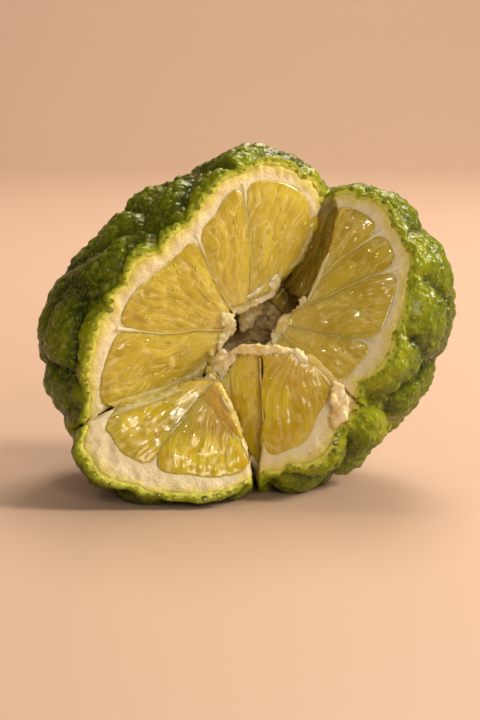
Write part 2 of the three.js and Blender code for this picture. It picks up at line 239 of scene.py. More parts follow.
class LimeColours(bpy.types.PropertyGroup):
    """Main colours of the tissues."""

    skin: colour_setting("Skin", "Crowns of the bumps", (0.104, 0.142, 0.001))
    # painted shade: the dark colour laid in the creases between the bumps
    painted_crease_shade: colour_setting("Crease", "Between the bumps", (0.01, 0.02, 0.0002))
    zest: colour_setting("Zest", "Cut edge of the skin", (0.3, 0.36, 0.004))
    pith: colour_setting("Pith", "White layer", (0.9, 0.78, 0.48))
    pulp: colour_setting("Pulp", "Juice sacs", (0.65, 0.53, 0.06))
    pulp_deep: colour_setting("Deep pulp", "Thickest pulp", (0.5, 0.37, 0.022))
    membrane: colour_setting("Membrane", "Sac walls and membranes", (0.86, 0.72, 0.3))


# ---------------------------------------------------------------- small maths
def smoothstep(low, high, x):
    t = np.clip((x - low) / (high - low), 0, 1)
    return t * t * (3 - 2 * t)


def wrap(angle, start):
    """An angle in degrees, brought into the turn that begins at start."""
    return np.mod(angle - start, 360) + start


def along(knots, angle):
    """A smooth curve through (angle, value) knots, flat at each one."""
    value = np.full_like(angle, knots[0][1])
    for (a0, v0), (a1, v1) in zip(knots, knots[1:]):
        value = np.where(angle > a0, v0 + (v1 - v0) * smoothstep(a0, a1, angle), value)
    return value


def soft_max(a, b, width):
    """The larger of two fields, rounded where they cross."""
    return np.maximum(a, b) + 0.25 * width * np.maximum(1 - np.abs(a - b) / width, 0) ** 2


def hashed(*whole):
    """Evenly spread values from 0 to 1 for whole numbers."""
    n = np.uint32(0)
    for axis, factor in zip(whole, (374761393, 668265263, 2246822519, 3266489917)):
        n = n + (np.asarray(axis).astype(np.int64) & 0xFFFFFFFF).astype(np.uint32) * np.uint32(factor)
    n = (n ^ (n >> np.uint32(13))) * np.uint32(1274126177)
    n = (n ^ (n >> np.uint32(16))) * np.uint32(2654435761)
    return ((n ^ (n >> np.uint32(15))) & np.uint32(0xFFFFFF)).astype(np.float32) / 0xFFFFFF


def noise_at(points, size, seed):
    """Smooth noise from -1 to 1 at points, with lumps of a size."""
    q = points / size
    base = np.floor(q).astype(np.int64)
    t = q - base
    t = (t * t * (3 - 2 * t)).astype(np.float32)
    total = 0
    for corner in np.ndindex(2, 2, 2):
        weight = 1
        for axis in range(3):
            weight = weight * (t[:, axis] if corner[axis] else 1 - t[:, axis])
        total = total + weight * hashed(*(base[:, a] + corner[a] for a in range(3)), seed)
    return total * 2 - 1


def cells_at(points, seed):
    """Nearest and second nearest distance to jittered cell centres one unit apart, and a value
    from 0 to 1 for the nearest cell."""
    base = np.floor(points).astype(np.int64)
    first = np.full(len(points), 9.0, np.float32)
    second = first.copy()
    own = np.zeros(len(points), np.float32)
    for step in np.ndindex(3, 3, 3):
        cell = base + np.array(step) - 1
        gap = 0
        for axis in range(3):
            centre = cell[:, axis] + 0.1 + 0.8 * hashed(*cell.T, seed + axis)
            gap = gap + (centre - points[:, axis]) ** 2
        gap = np.sqrt(gap).astype(np.float32)
        nearer = gap < first
        second = np.where(nearer, first, np.minimum(second, gap))
        own = np.where(nearer, hashed(*cell.T, seed + 7), own)
        first = np.where(nearer, gap, first)
    return first, second, own


def polygon_distance(outline, u, v):
    """Signed distance to an outline in the plane of the cut, negative inside."""
    best = np.full(np.broadcast(u, v).shape, 1e9, np.float32)
    inside = np.zeros(best.shape, bool)
    points = list(outline)
    for (u0, v0), (u1, v1) in zip(points, points[1:] + points[:1]):
        eu, ev = u1 - u0, v1 - v0
        t = np.clip(((u - u0) * eu + (v - v0) * ev) / (eu * eu + ev * ev), 0, 1)
        best = np.minimum(best, (u - u0 - t * eu) ** 2 + (v - v0 - t * ev) ** 2)
        if v0 != v1:
            crosses = ((v0 > v) != (v1 > v)) & (u < (v - v0) * eu / ev + u0)
            inside ^= crosses
    return np.where(inside, -1, 1) * np.sqrt(best)


def plane(face, u, v):
    """Height of a cut face over points of the cut plane."""
    return face[0] + face[1] * u + face[2] * v


# ---------------------------------------------------------------- the body's radii
def wart_centres():
    """An even spiral over the sphere, each centre moved a little, and each wart's crown."""
    i = np.arange(WART_COUNT, dtype=np.float64)

    def scatter(n):
        s = np.sin(n * 127.1 + 11.7) * 43758.5453
        return s - np.floor(s)

    turn = i * 2.399963 + (scatter(i) - 0.5) * 0.5
    w = 1 - 2 * (i + 0.5) / WART_COUNT + (scatter(i + 500) - 0.5) * 0.06
    flat = np.sqrt(np.maximum(0, 1 - w * w))
    return np.stack([flat * np.cos(turn), flat * np.sin(turn), w], 1), 0.65 + 0.5 * scatter(i + 900)


WARTS, CROWNS = wart_centres()


def wartiness(directions):
    """0 in the creases between warts, up to about 1 on their crowns."""
    out = np.empty(len(directions), np.float32)
    for start in range(0, len(directions), 60000):
        part = slice(start, start + 60000)
        near = directions[part] @ WARTS.T
        rows = np.arange(len(near))
        first = near.argmax(1)
        d1 = np.sqrt(np.maximum(2 - 2 * near[rows, first], 0))
        near[rows, first] = -2
        d2 = np.sqrt(np.maximum(2 - 2 * near.max(1), 0))
        out[part] = CROWNS[first] * (1 - (d1 / d2) ** 2)
    return out


def within(angle, start, end):
    """1 between two tears and 0 outside them, with a soft edge."""
    a = wrap(angle, start - 60)
    up = smoothstep(start - TEAR_EDGE, start + TEAR_EDGE, a)
    return up * (1 - smoothstep(end - TEAR_EDGE, end + TEAR_EDGE, a))


def envelope(d):
    """Distance from the centre to the smooth surface over the warts, for each direction."""
    angle = np.degrees(np.arctan2(d[:, 1], d[:, 0]))
    flat = np.hypot(d[:, 0], d[:, 1])
    whole = along(FRONT_REACH, wrap(angle, TEAR_RIGHT - 360 - 0.01))
    right = along(LOWER_RIGHT_REACH, wrap(angle, TEAR_LEFT))
    reach = whole + (right - whole) * within(angle, TEAR_BOTTOM, TEAR_RIGHT)
    in_left = within(angle, TEAR_LEFT, TEAR_BOTTOM)
    reach = reach + (LOWER_LEFT_REACH - reach) * in_left
    turned = np.radians(angle - LENGTH_TURN)
    waist = 1 / np.hypot(np.cos(turned) / HALF_LENGTH, np.sin(turned) / HALF_HEIGHT)
    waist = waist + along(SWELL, wrap(angle, 0))
    radius = 1 / np.hypot(flat / waist, d[:, 2] / np.where(d[:, 2] > 0, reach, BACK_DEPTH))
    w = radius * d[:, 2]
    flare = along(LOWER_LEFT_FLARE, wrap(angle, 0)) * in_left * smoothstep(0, FLARE_RUN, w)
    from_tear = np.abs(wrap(angle, TEAR_TOP - 180) - TEAR_TOP)
    pinch = PINCH_DEPTH * np.exp(-from_tear / PINCH_SPREAD) * smoothstep(-16, 2, w)
    from_stem = np.degrees(np.arccos(np.clip(-d[:, 2], 0, 1)))
    dimple = STEM_DIMPLE_DEPTH * (1 - smoothstep(0, STEM_DIMPLE_ANGLE, from_stem))
    return radius * (1 + flare) - pinch - dimple


def to_table(d):
    """Distance from the centre to the surface that the fruit stands on."""
    fall = -d[:, 1] * math.cos(LEAN_BACK) - d[:, 2] * math.sin(LEAN_BACK)
    return np.where(fall > 0.2, REST_HEIGHT / np.maximum(fall, 0.2), 1e3)


class Shells:
    """Radii of the skin, its underside and the pith's inside, by direction."""

    AROUND, DOWN = ((1080, 540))

    def __init__(self):
        angle = np.arange(self.AROUND) / self.AROUND * 2 * math.pi
        polar = np.arange(self.DOWN) / (self.DOWN - 1) * math.pi
        a, p = (grid.ravel() for grid in np.meshgrid(angle, polar, indexing="ij"))
        d = np.stack([np.sin(p) * np.cos(a), np.sin(p) * np.sin(a), np.cos(p)], 1)
        outer, table, bump = envelope(d), to_table(d), wartiness(d)
        skin = np.minimum(outer - WART_HEIGHT * (1 - bump), table)
        under = outer - WART_HEIGHT * (WART_UNDERSIDE * (1 - bump) + 1 - WART_UNDERSIDE)
        under = np.minimum(under, skin) - RIND_WALL
        wall = PITH_WALL + (PITH_WALL_BACK - PITH_WALL) * smoothstep(0.3, 1, -d[:, 2])
        degrees = np.degrees(a)
        front = smoothstep(0, 0.3, d[:, 2])
        flap = smoothstep(211, 214, degrees) * (1 - smoothstep(236, 262, degrees))
        lower_right = smoothstep(290, 305, degrees) * (1 - smoothstep(317, 324, degrees))
        wall = wall + (FLAP_PITH_EXTRA * flap + LOWER_RIGHT_PITH_EXTRA * lower_right) * front - PULP_ROOM
        cavity = np.minimum(outer - WART_HEIGHT * 0.75, table) - RIND_WALL - TISSUE_GAP - wall
        self.tables = {
            name: value.reshape(self.AROUND, self.DOWN).astype(np.float32)
            for name, value in (("skin", skin), ("under", under), ("cavity", cavity), ("bump", bump))
        }

    def at(self, name, angle, polar):
        """The value of a table at angles, in degrees, and polar angles, in radians."""
        table = self.tables[name]
        a = np.mod(angle, 360) / 360 * self.AROUND
        i = np.minimum(a.astype(np.int32), self.AROUND - 1)
        fa = a - i
        p = polar / math.pi * (self.DOWN - 1)
        j = np.minimum(p.astype(np.int32), self.DOWN - 2)
        fp = p - j
        k = (i + 1) % self.AROUND
        low = table[i, j] * (1 - fp) + table[i, j + 1] * fp
        high = table[k, j] * (1 - fp) + table[k, j + 1] * fp
        return low * (1 - fa) + high * fa

    def at_points(self, name, points):
        """The value of a table in the direction of each point."""
        flat = np.hypot(points[:, 0], points[:, 1])
        angle = np.degrees(np.arctan2(points[:, 1], points[:, 0]))
        return self.at(name, angle, np.arctan2(flat, points[:, 2]))


shells = Shells()


# ---------------------------------------------------------------- fields over a box of space
class Space:
    """A box of grid points, with the distances that the fields are made of."""

    def __init__(self, low, high, step):
        self.low = np.array(low, np.float32)
        self.step = step
        self.axes = [np.arange(a, b + step, step, dtype=np.float32) for a, b in zip(low, high)]
        u, v, w = self.axes
        self.u, self.v, self.w = u[:, None], v[None, :], w[None, None, :]
        flat = np.hypot(self.u, self.v)
        self.angle = np.degrees(np.arctan2(self.v, self.u))[:, :, None]
        self.flat = flat[:, :, None]
        self.r = np.sqrt(self.flat**2 + self.w**2)
        self.polar = np.arctan2(self.flat, self.w)

    def shell(self, name):
        return shells.at(name, self.angle, self.polar)

    def lobes(self):
        """For each lobe: distance to its outline, the height of its face, and how steep it is."""
        if not hasattr(self, "lobe_fields"):
            self.lobe_fields = []
            for outline, faces in LOBES.values():
                edge = polygon_distance(outline, self.u, self.v).astype(np.float32)
                top = np.minimum.reduce([plane(face, self.u, self.v) for face in faces])
                steep = 1 / math.sqrt(1 + min(f[1] ** 2 + f[2] ** 2 for f in faces))
                self.lobe_fields.append((edge, top.astype(np.float32), np.float32(steep)))
        return self.lobe_fields

    def noise(self, size, seed):
        """Smooth noise from -1 to 1, the same in every box that holds the point."""
        parts = []
        for axis in self.axes:
            q = axis / size
            base = np.floor(q).astype(np.int64)
            t = q - base
            parts.append((base - base[0], (t * t * (3 - 2 * t)).astype(np.float32), base[0], base[-1]))
        grids = np.meshgrid(*(np.arange(p[2], p[3] + 2) for p in parts), indexing="ij")
        value = hashed(*grids, seed) * 2 - 1
        for axis, (index, t, _, _) in enumerate(parts):
            shape = [1, 1, 1]
            shape[axis] = -1
            t = t.reshape(shape)
            value = np.take(value, index, axis) * (1 - t) + np.take(value, index + 1, axis) * t
        return value

    def kept(self, lift=0.0, rough=0.35, corner=0.3):
        """The space that the cut and the tears leave, with its cut faces raised by lift."""
        coarse = np.float32(0)
        if rough:
            coarse = (self.noise(2.6, 11) + self.noise(0.9, 12) * 0.45) * np.float32(rough)
        wave = self.noise(7, 13)[:, :, :1] * 0.3 + lift
        floor = np.interp(self.flat, *zip(*BOWL_TOP)).astype(np.float32)
        field = (self.w - floor - coarse * 1.6) * 0.8
        for edge, top, steep in self.lobes():
            over = (self.w - (top[:, :, None] + wave)) * steep
            field = np.minimum(field, soft_max(over, edge[:, :, None] + coarse, corner))
        return field

    def locule(self, number, corner=2.2, wall=0.14, reach=0.0):
        """The room of one segment, with rounded outer corners."""
        lines = [SEGMENTS[n % len(SEGMENTS)][1] for n in (number, number + 1)]
        side = polygon_distance(lines[0] + lines[1][::-1], self.u, self.v)[:, :, None]
        outer = self.r - self.shell("cavity")
        thicken = 0.5 * smoothstep(-3.2, 0, outer)
        return soft_max(outer - reach, side + wall + thicken, corner)


CORNERS = list(np.ndindex(2, 2, 2))


def surface(field, space, relax=2):
    """The mesh where a field over a box of space is zero: (points, quads), facing outwards."""
    field = field.astype(np.float32)
    for axis in range(3):
        edge = [slice(None)] * 3
        for end in (0, -1):
            edge[axis] = end
            field[tuple(edge)] = np.maximum(field[tuple(edge)], space.step)
    inside = field < 0
    count = sum(
        inside[tuple(slice(c, n - 1 + c) for c, n in zip(corner, inside.shape))].astype(np.int8)
        for corner in CORNERS
    )
    active = (count > 0) & (count < 8)
    cells = np.argwhere(active)
    number = np.full(active.shape, -1, np.int64)
    number[active] = np.arange(len(cells))
    values = [field[tuple((cells + corner).T)] for corner in CORNERS]
    total = np.zeros((len(cells), 3), np.float32)
    crossings = np.zeros(len(cells), np.float32)
    for a, corner_a in enumerate(CORNERS):
        for axis in range(3):
            if corner_a[axis]:
                continue
            b = a + (4, 2, 1)[axis]
            va, vb = values[a], values[b]
            crosses = (va < 0) != (vb < 0)
            t = np.where(crosses, va / np.where(crosses, va - vb, 1), 0)
            for other in range(3):
                total[:, other] += crosses * (t if other == axis else corner_a[other])
            crossings += crosses
    points = (cells + total / crossings[:, None]) * space.step + space.low
    quads = []
    for axis in range(3):
        one, two = (axis + 1) % 3, (axis + 2) % 3
        lower = [slice(1, -1)] * 3
        upper = [slice(1, -1)] * 3
        lower[axis], upper[axis] = slice(0, -1), slice(1, None)
        first, last = inside[tuple(lower)], inside[tuple(upper)]
        edges = np.argwhere(first != last)
        base = edges.copy()
        base[:, one] += 1
        base[:, two] += 1
        ring = []
        for back_one, back_two in ((1, 1), (0, 1), (0, 0), (1, 0)):
            cell = base.copy()
            cell[:, one] -= back_one
            cell[:, two] -= back_two
            ring.append(number[tuple(cell.T)])
        ring = np.stack(ring, 1)
        outward = first[tuple(edges.T)]
        quads.append(np.where(outward[:, None], ring, ring[:, ::-1]))
    points, quads = without_specks(points, np.concatenate(quads))
    for _ in range(relax):
        points = on_surface(smoothed(points, quads, 0.5), field, space)
    return points.astype(np.float64), quads


def without_specks(points, quads, share=0.05):
    """Leaves out loose specks, the islands with fewer faces than a share of the largest one's."""
    label = np.arange(len(points))
    while True:
        lower = label.copy()
        np.minimum.at(lower, quads.ravel(), np.repeat(label[quads].min(1), 4))
        lower = lower[lower]
        if (lower == label).all():
            break
        label = lower
    island = label[quads[:, 0]]
    faces = np.bincount(island)
    quads = quads[faces[island] >= share * faces.max()]
    used, quads = np.unique(quads, return_inverse=True)
    return points[used], quads.reshape(-1, 4)


def smoothed(points, quads, amount):
    """Points drawn towards the mean of their neighbours."""
    ends = quads.ravel()
    nexts = np.roll(quads, -1, 1).ravel()
    size = len(points)
    degree = np.maximum(np.bincount(ends, minlength=size), 1)
    mean = np.stack([np.bincount(ends, points[nexts, a], size) for a in range(3)], 1)
    return points + amount * (mean / degree[:, None] - points)


def sample(field, space, points):
    """A field's value at points, blended from the grid points round each one."""
    q = (points - space.low) / space.step
    top = np.array(field.shape) - 1.001
    q = np.clip(q, 0, top)
    base = q.astype(np.int64)
    t = q - base
    total = 0
    for corner in CORNERS:
        weight = 1
        for axis in range(3):
            weight = weight * (t[:, axis] if corner[axis] else 1 - t[:, axis])
        total = total + weight * field[tuple((base + corner).T)]
    return total


def on_surface(points, field, space):
    """Points moved along the field's slope to its zero surface, by at most half a step."""
    value = sample(field, space, points)
    reach = space.step * 0.5
    slope = np.stack(
        [
            (sample(field, space, points + shift) - sample(field, space, points - shift)) / (2 * reach)
            for shift in np.eye(3) * reach
        ],
        1,
    )
    size = np.maximum((slope**2).sum(1), 0.05)
    move = -value[:, None] * slope / size[:, None]
    length = np.maximum(np.linalg.norm(move, axis=1), 1e-9)
    return points + move * np.minimum(1, reach / length)[:, None]


def normals(points, quads):
    """The outward direction at each point."""
    across = points[quads[:, 2]] - points[quads[:, 0]]
    other = points[quads[:, 3]] - points[quads[:, 1]]
    face = np.cross(across, other)
    total = np.zeros_like(points)
    for k in range(4):
        for axis in range(3):
            total[:, axis] += np.bincount(quads[:, k], face[:, axis], len(points))
    return total / np.maximum(np.linalg.norm(total, axis=1), 1e-12)[:, None]


# ---------------------------------------------------------------- meshes and objects
def to_part(points):
    """Points of the fruit's frame, in mm, to the part's frame, in metres."""
    u, v, w = np.asarray(points, float).T
    c, s = math.cos(LEAN_BACK), math.sin(LEAN_BACK)
    out = np.stack([u + CENTRE[0], v * s - w * c + CENTRE[1], v * c + w * s + CENTRE[2]], 1)
    out[:, 2] = np.maximum(out[:, 2], 0)
    return out * MM


def new_mesh(name, points, faces, values=None, sharp=None):
    """An object of faces of one corner count, at fruit points, with point attributes."""
    faces = np.asarray(faces)
    mesh = bpy.data.meshes.new(name)
    mesh.vertices.add(len(points))
    mesh.vertices.foreach_set("co", to_part(points).ravel())
    mesh.loops.add(faces.size)
    mesh.loops.foreach_set("vertex_index", faces.ravel().astype(np.int32))
    mesh.polygons.add(len(faces))
    corners = faces.shape[1]
    mesh.polygons.foreach_set("loop_start", np.arange(0, faces.size, corners, dtype=np.int32))
    mesh.update(calc_edges=True)
    mesh.polygons.foreach_set("use_smooth", np.ones(len(faces), bool))
    for key, value in (values or {}).items():
        value = np.asarray(value, np.float32)
        kind = "FLOAT_VECTOR" if value.ndim == 2 else "FLOAT"
        layer = mesh.attributes.new(key, kind, "POINT")
        layer.data.foreach_set("vector" if value.ndim == 2 else "value", value.ravel())
    if sharp:
        mesh.set_sharp_from_angle(angle=math.radians(sharp))
    mesh.validate()
    piece = bpy.data.objects.new(name, mesh)
    bpy.context.scene.collection.objects.link(piece)
    return piece


def hand_over(piece, material, slot, *nodes):
    """Finishes a piece: its material, the body it rides on, its slot and the nodes it stands for."""
    piece.data.materials.clear()
    piece.data.materials.append(material)
    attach(piece, "root")
    if nodes:
        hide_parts(*nodes)
    return piece


def thin_out(piece, group_values, share):
    """Collapses the hidden side of a piece, where group_values is 1, to a share of its faces."""
    group = piece.vertex_groups.new(name="hidden")
    for index in np.flatnonzero(group_values > 0.5):
        group.add([int(index)], 1.0, "REPLACE")
    modifier = piece.modifiers.new("thin", "DECIMATE")
    modifier.ratio = share
    modifier.vertex_group = "hidden"
    modifier.vertex_group_factor = 1000
    bake(piece)


def bake(piece):
    """Turns a piece and its modifiers into a plain mesh."""
    graph = bpy.context.evaluated_depsgraph_get()
    mesh = bpy.data.meshes.new_from_object(piece.evaluated_get(graph))
    piece.modifiers.clear()
    piece.vertex_groups.clear()
    old = piece.data
    piece.data = mesh
    mesh.name = piece.name
    bpy.data.meshes.remove(old)


# ---------------------------------------------------------------- materials
class Wire:
    """A socket that can be used in arithmetic: each operation adds a Math node."""

    def __init__(self, sheet, socket):
        self.sheet, self.socket = sheet, socket

    def math(self, operation, *others, clamp=False):
        made = self.sheet.node("ShaderNodeMath", {"operation": operation, "use_clamp": clamp},
                               dict(enumerate((self,) + others)))
        return made[0]

    def __add__(self, other):
        return self.math("ADD", other)

    __radd__ = __add__

    def __mul__(self, other):
        return self.math("MULTIPLY", other)

    __rmul__ = __mul__

    def __sub__(self, other):
        return self.math("SUBTRACT", other)

    def __rsub__(self, other):
        return self.sheet.node("ShaderNodeMath", {"operation": "SUBTRACT"}, {0: other, 1: self})[0]

    def clamp(self):
        return self.math("ADD", 0.0, clamp=True)

    def step(self, low, high):
        """0 below low, 1 above high, smooth between; reversed where low is above high."""
        settings = {"interpolation_type": "SMOOTHSTEP"}
        ends = {"From Min": low, "From Max": high, "Value": self}
        if low > high:
            ends.update({"From Min": high, "From Max": low, "To Min": 1.0, "To Max": 0.0})
        return self.sheet.node("ShaderNodeMapRange", settings, ends)[0]


class Sheet:
    """The node tree of one material."""

    def __init__(self, name):
        self.material = bpy.data.materials.new(name)
        self.material.use_nodes = True
        self.tree = self.material.node_tree
        self.tree.nodes.clear()
        self.place = self.node("ShaderNodeTexCoord")["Object"]

    def node(self, kind, settings=None, inputs=None):
        """Adds any node: its settings first, then its sockets' values or links. Returns its outputs."""
        made = self.tree.nodes.new(kind)
        for key, value in (settings or {}).items():
            setattr(made, key, value)
        for key, value in (inputs or {}).items():
            if isinstance(value, Wire):
                self.tree.links.new(value.socket, made.inputs[key])
            else:
                if hasattr(made.inputs[key].default_value, "__len__") and not hasattr(value, "__len__"):
                    value = (value,) * 3
                if made.inputs[key].type == "RGBA" and len(value) == 3:
                    value = (*value, 1)
                made.inputs[key].default_value = value
        return Outputs(self, made)

    def value(self, name):
        """A point attribute of the piece."""
        return self.node("ShaderNodeAttribute", {"attribute_name": name})["Fac"]

    def vector(self, name):
        return self.node("ShaderNodeAttribute", {"attribute_name": name})["Vector"]

    def scaled(self, vector, factor):
        """A vector times a number or three."""
        return self.node("ShaderNodeVectorMath", {"operation": "MULTIPLY"},
                         {0: vector, 1: factor})["Vector"]

    def moved(self, vector, other):
        return self.node("ShaderNodeVectorMath", {"operation": "ADD"}, {0: vector, 1: other})["Vector"]

    def noise(self, vector, size, detail=2.0, rough=0.5):
        """Noise with lumps of a size, in the vector's own units."""
        return self.node("ShaderNodeTexNoise", None,
                         {"Vector": vector, "Scale": 1 / size, "Detail": detail, "Roughness": rough})["Fac"]

    def cells(self, vector, size):
        return self.node("ShaderNodeTexVoronoi", None, {"Vector": vector, "Scale": 1 / size})

    def mix(self, factor, one, two):
        """One colour turned into another by a factor."""
        return self.node("ShaderNodeMix", {"data_type": "RGBA"},
                         {0: factor, 6: one, 7: two})[2]

    def bump(self, height, distance, strength):
        return self.node("ShaderNodeBump", None, {"Height": height, "Distance": distance * MM,
                                                  "Strength": strength})["Normal"]

    def finish(self, **inputs):
        """The surface, from sockets of the Principled shader by name, with _ for spaces."""
        names = {key.replace("_", " "): value for key, value in inputs.items()}
        shader = self.node("ShaderNodeBsdfPrincipled", None, names)
        self.node("ShaderNodeOutputMaterial", None, {"Surface": shader["BSDF"]})
        return self.material


class Outputs:
    """The outputs of a node, by name or number, as wires."""

    def __init__(self, sheet, node):
        self.sheet, self.made = sheet, node

    def __getitem__(self, key):
        return Wire(self.sheet, self.made.outputs[key])


def skin_material(colours):
    """Waxy green skin with darker creases and pitted glands; its cut edge is yellow-green zest."""
    sheet = Sheet("waxy_skin")
    depth, crown = sheet.value("depth"), sheet.value("crown")
    lobule, pit = sheet.value("lobule"), sheet.value("pit")
    place = sheet.place
    patch = sheet.noise(place, 11 * MM, 3, 0.6).step(0.38, 0.66)
    fine = sheet.noise(place, 1.3 * MM, 3, 0.6)
    height = (crown * 0.8 + lobule * 0.35).step(0.12, 0.9)
    # painted shade: the low ground between the bumps takes the dark crease colour
    colour = sheet.mix(height, colours.painted_crease_shade, colours.skin)
    colour = sheet.mix(patch * 0.3, colour, (0.2, 0.25, 0.003))
    colour = sheet.mix(fine.step(0.5, 0.75) * 0.3, colour, (0.26, 0.3, 0.006))
    yellow = sheet.noise(sheet.moved(place, (0.03, 0.01, 0.02)), 6 * MM, 2, 0.5).step(0.62, 0.75)
    colour = sheet.mix(yellow * height * 0.35, colour, (0.42, 0.38, 0.01))
    dots = sheet.cells(place, 1.25 * MM)["Distance"]
    speck = dots.step(0.3, 0.12)
    colour = sheet.mix(speck * 0.4, colour, (0.34, 0.36, 0.01))
    # painted shade in the gland pits: they are coloured darker
    colour = sheet.mix(pit * 0.3, colour, (0.05, 0.075, 0.001))
    lip = (sheet.value("lip") + (fine - 0.5) * 0.7 + (height - 0.5) * 0.3).clamp()
    colour = sheet.mix(lip * 0.75, colour, sheet.mix(speck, (0.3, 0.34, 0.003), (0.46, 0.44, 0.008)))
    # the cut edge, from the skin inwards
    ragged = depth + (sheet.noise(place, 1.1 * MM, 4, 0.65) - 0.5) * 1.5
    zest = sheet.mix(ragged.step(0.3, 1.5), colours.zest, (0.72, 0.7, 0.12))
    gland = sheet.cells(place, 1.2 * MM)["Distance"].step(0.42, 0.3)
    gland = gland * ragged.step(0.3, 0.5) * ragged.step(1.25, 1.0)
    zest = sheet.mix(gland * 0.75, zest, (0.2, 0.19, 0.002))
    cut = ragged.step(0.0, 0.55)
    colour = sheet.mix(cut, colour, zest)
    wax = sheet.noise(place, 4 * MM, 2, 0.5)
    rough = cut * 0.22 + 0.2 + wax * 0.14
    relief = fine * 0.4 + dots.step(0.75, 0.0) * 0.9 - speck * 0.35
    relief = relief + sheet.noise(place, 0.45 * MM, 2, 0.5) * 0.2
    return sheet.finish(
        Base_Color=colour, Roughness=rough, Normal=sheet.bump(relief, 0.3, 0.8),
        Coat_Weight=0.12, Coat_Roughness=0.07, Specular_IOR_Level=0.24,
        Subsurface_Weight=0.12, Subsurface_Radius=(1.0, 1.0, 0.3), Subsurface_Scale=0.9 * MM,
    )


def pith_material(colours):
    """Damp, spongy white layer, a little yellow under the skin, with a few brown flecks."""
    sheet = Sheet("damp_pith")
    depth, deep = sheet.value("depth"), sheet.value("deep")
    place = sheet.place
    cloud = sheet.noise(place, 2.6 * MM, 4, 0.65)
    grain = sheet.noise(place, 0.45 * MM, 3, 0.7)
    colour = sheet.mix(cloud.step(0.35, 0.7) * 0.45, colours.pith, (0.92, 0.83, 0.66))
    colour = sheet.mix(sheet.noise(place, 7 * MM, 2).step(0.45, 0.65) * 0.35, colour, (0.86, 0.68, 0.42))
    near_skin = (depth + (grain - 0.5) * 1.6 + (cloud - 0.5) * 2.0).step(1.7, 0.0)
    colour = sheet.mix(near_skin * 0.8, colour, (0.78, 0.68, 0.12))
    fleck = sheet.cells(place, 3.4 * MM)["Distance"].step(0.13, 0.05) * cloud.step(0.42, 0.6)
    colour = sheet.mix(fleck * 0.7, colour, (0.5, 0.26, 0.08))
    colour = sheet.mix(grain.step(0.62, 0.8) * 0.25, colour, (0.7, 0.5, 0.25))
    # painted shade: the pith darkens to brown in the hollow and low in the tears
    shade = sheet.mix(cloud.step(0.35, 0.65), (0.3, 0.17, 0.02), (0.6, 0.42, 0.13))
    colour = sheet.mix(deep * 0.75, colour, shade)
    relief = grain * 0.6 + cloud * 0.7
    return sheet.finish(
        Base_Color=colour, Roughness=0.42 + grain * 0.3, Normal=sheet.bump(relief, 0.35, 0.9),
        Coat_Weight=0.12, Coat_Roughness=0.25,
        Subsurface_Weight=0.35, Subsurface_Radius=(1.0, 0.7, 0.4), Subsurface_Scale=1.6 * MM,
    )


def pulp_material(colours):
    """Wet juice sacs: translucent gold with fine pale lines that run in towards the core."""
    sheet = Sheet("wet_pulp")
    vein, tint, reach = sheet.value("vein"), sheet.value("tint"), sheet.value("reach")
    deep, lively, rim = sheet.value("deep"), sheet.value("lively"), sheet.value("rim")
    sac = sheet.vector("sac")
    place = sheet.place
    cloud = sheet.noise(place, 5 * MM, 2, 0.5)
    patch = sheet.noise(place, 1.7 * MM, 2, 0.5)
    streak = sheet.noise(sheet.scaled(sac, (0.9, 0.4, 0.7)), 1.0, 1, 0.4)
    finer = sheet.noise(sheet.scaled(sac, (2.6, 0.8, 1.6)), 1.0, 1, 0.5)
    flow = streak - 0.5
    thread = (flow * flow).step(0.0007, 0.0) * patch.step(0.4, 0.6)
    hair = finer - 0.5
    hair = (hair * hair).step(0.0009, 0.0) * cloud.step(0.42, 0.62)
    colour = sheet.mix((tint * 0.3 + cloud * 0.9).step(0.25, 0.95), colours.pulp_deep, colours.pulp)
    bright = sheet.mix(cloud.step(0.35, 0.62), (0.6, 0.4, 0.003), (0.72, 0.6, 0.006))
    # painted glow: loose segments are coloured brighter and yellower, as if lit through
    colour = sheet.mix(lively, colour, bright)
    colour = sheet.mix(streak.step(0.45, 0.75) * 0.25, colour, (0.78, 0.6, 0.08))
    # painted shade along each segment's edge, where the pulp meets the pith and the membranes
    colour = sheet.mix(rim * 0.12, colour, (0.5, 0.33, 0.012))
    colour = sheet.mix(reach.step(0.42, 0.02) * 0.6, colour, (0.82, 0.62, 0.2))
    lines = (vein * patch.step(0.2, 0.6) * 0.7 + thread * 0.8 + hair * 0.55).clamp()
    colour = sheet.mix(lines * 0.75, colour, colours.membrane)
    # painted shade: the pulp turns dark amber low in the tears and in the hollow
    dark = sheet.mix(streak.step(0.4, 0.62), (0.26, 0.15, 0.004), (0.5, 0.32, 0.03))
    colour = sheet.mix(deep * 0.55, colour, dark)
    relief = streak * 0.7 + finer * 0.35 + patch * 0.1
    rough = 0.14 + patch * 0.16 + lines * 0.12
    return sheet.finish(
        Base_Color=colour, Roughness=rough, Normal=sheet.bump(relief, 0.3, 0.7),
        Coat_Weight=0.7, Coat_Roughness=0.04, IOR=1.38, Specular_IOR_Level=0.5,
        Subsurface_Weight=0.6, Subsurface_Radius=(1.0, 0.65, 0.12), Subsurface_Scale=2.4 * MM,
    )


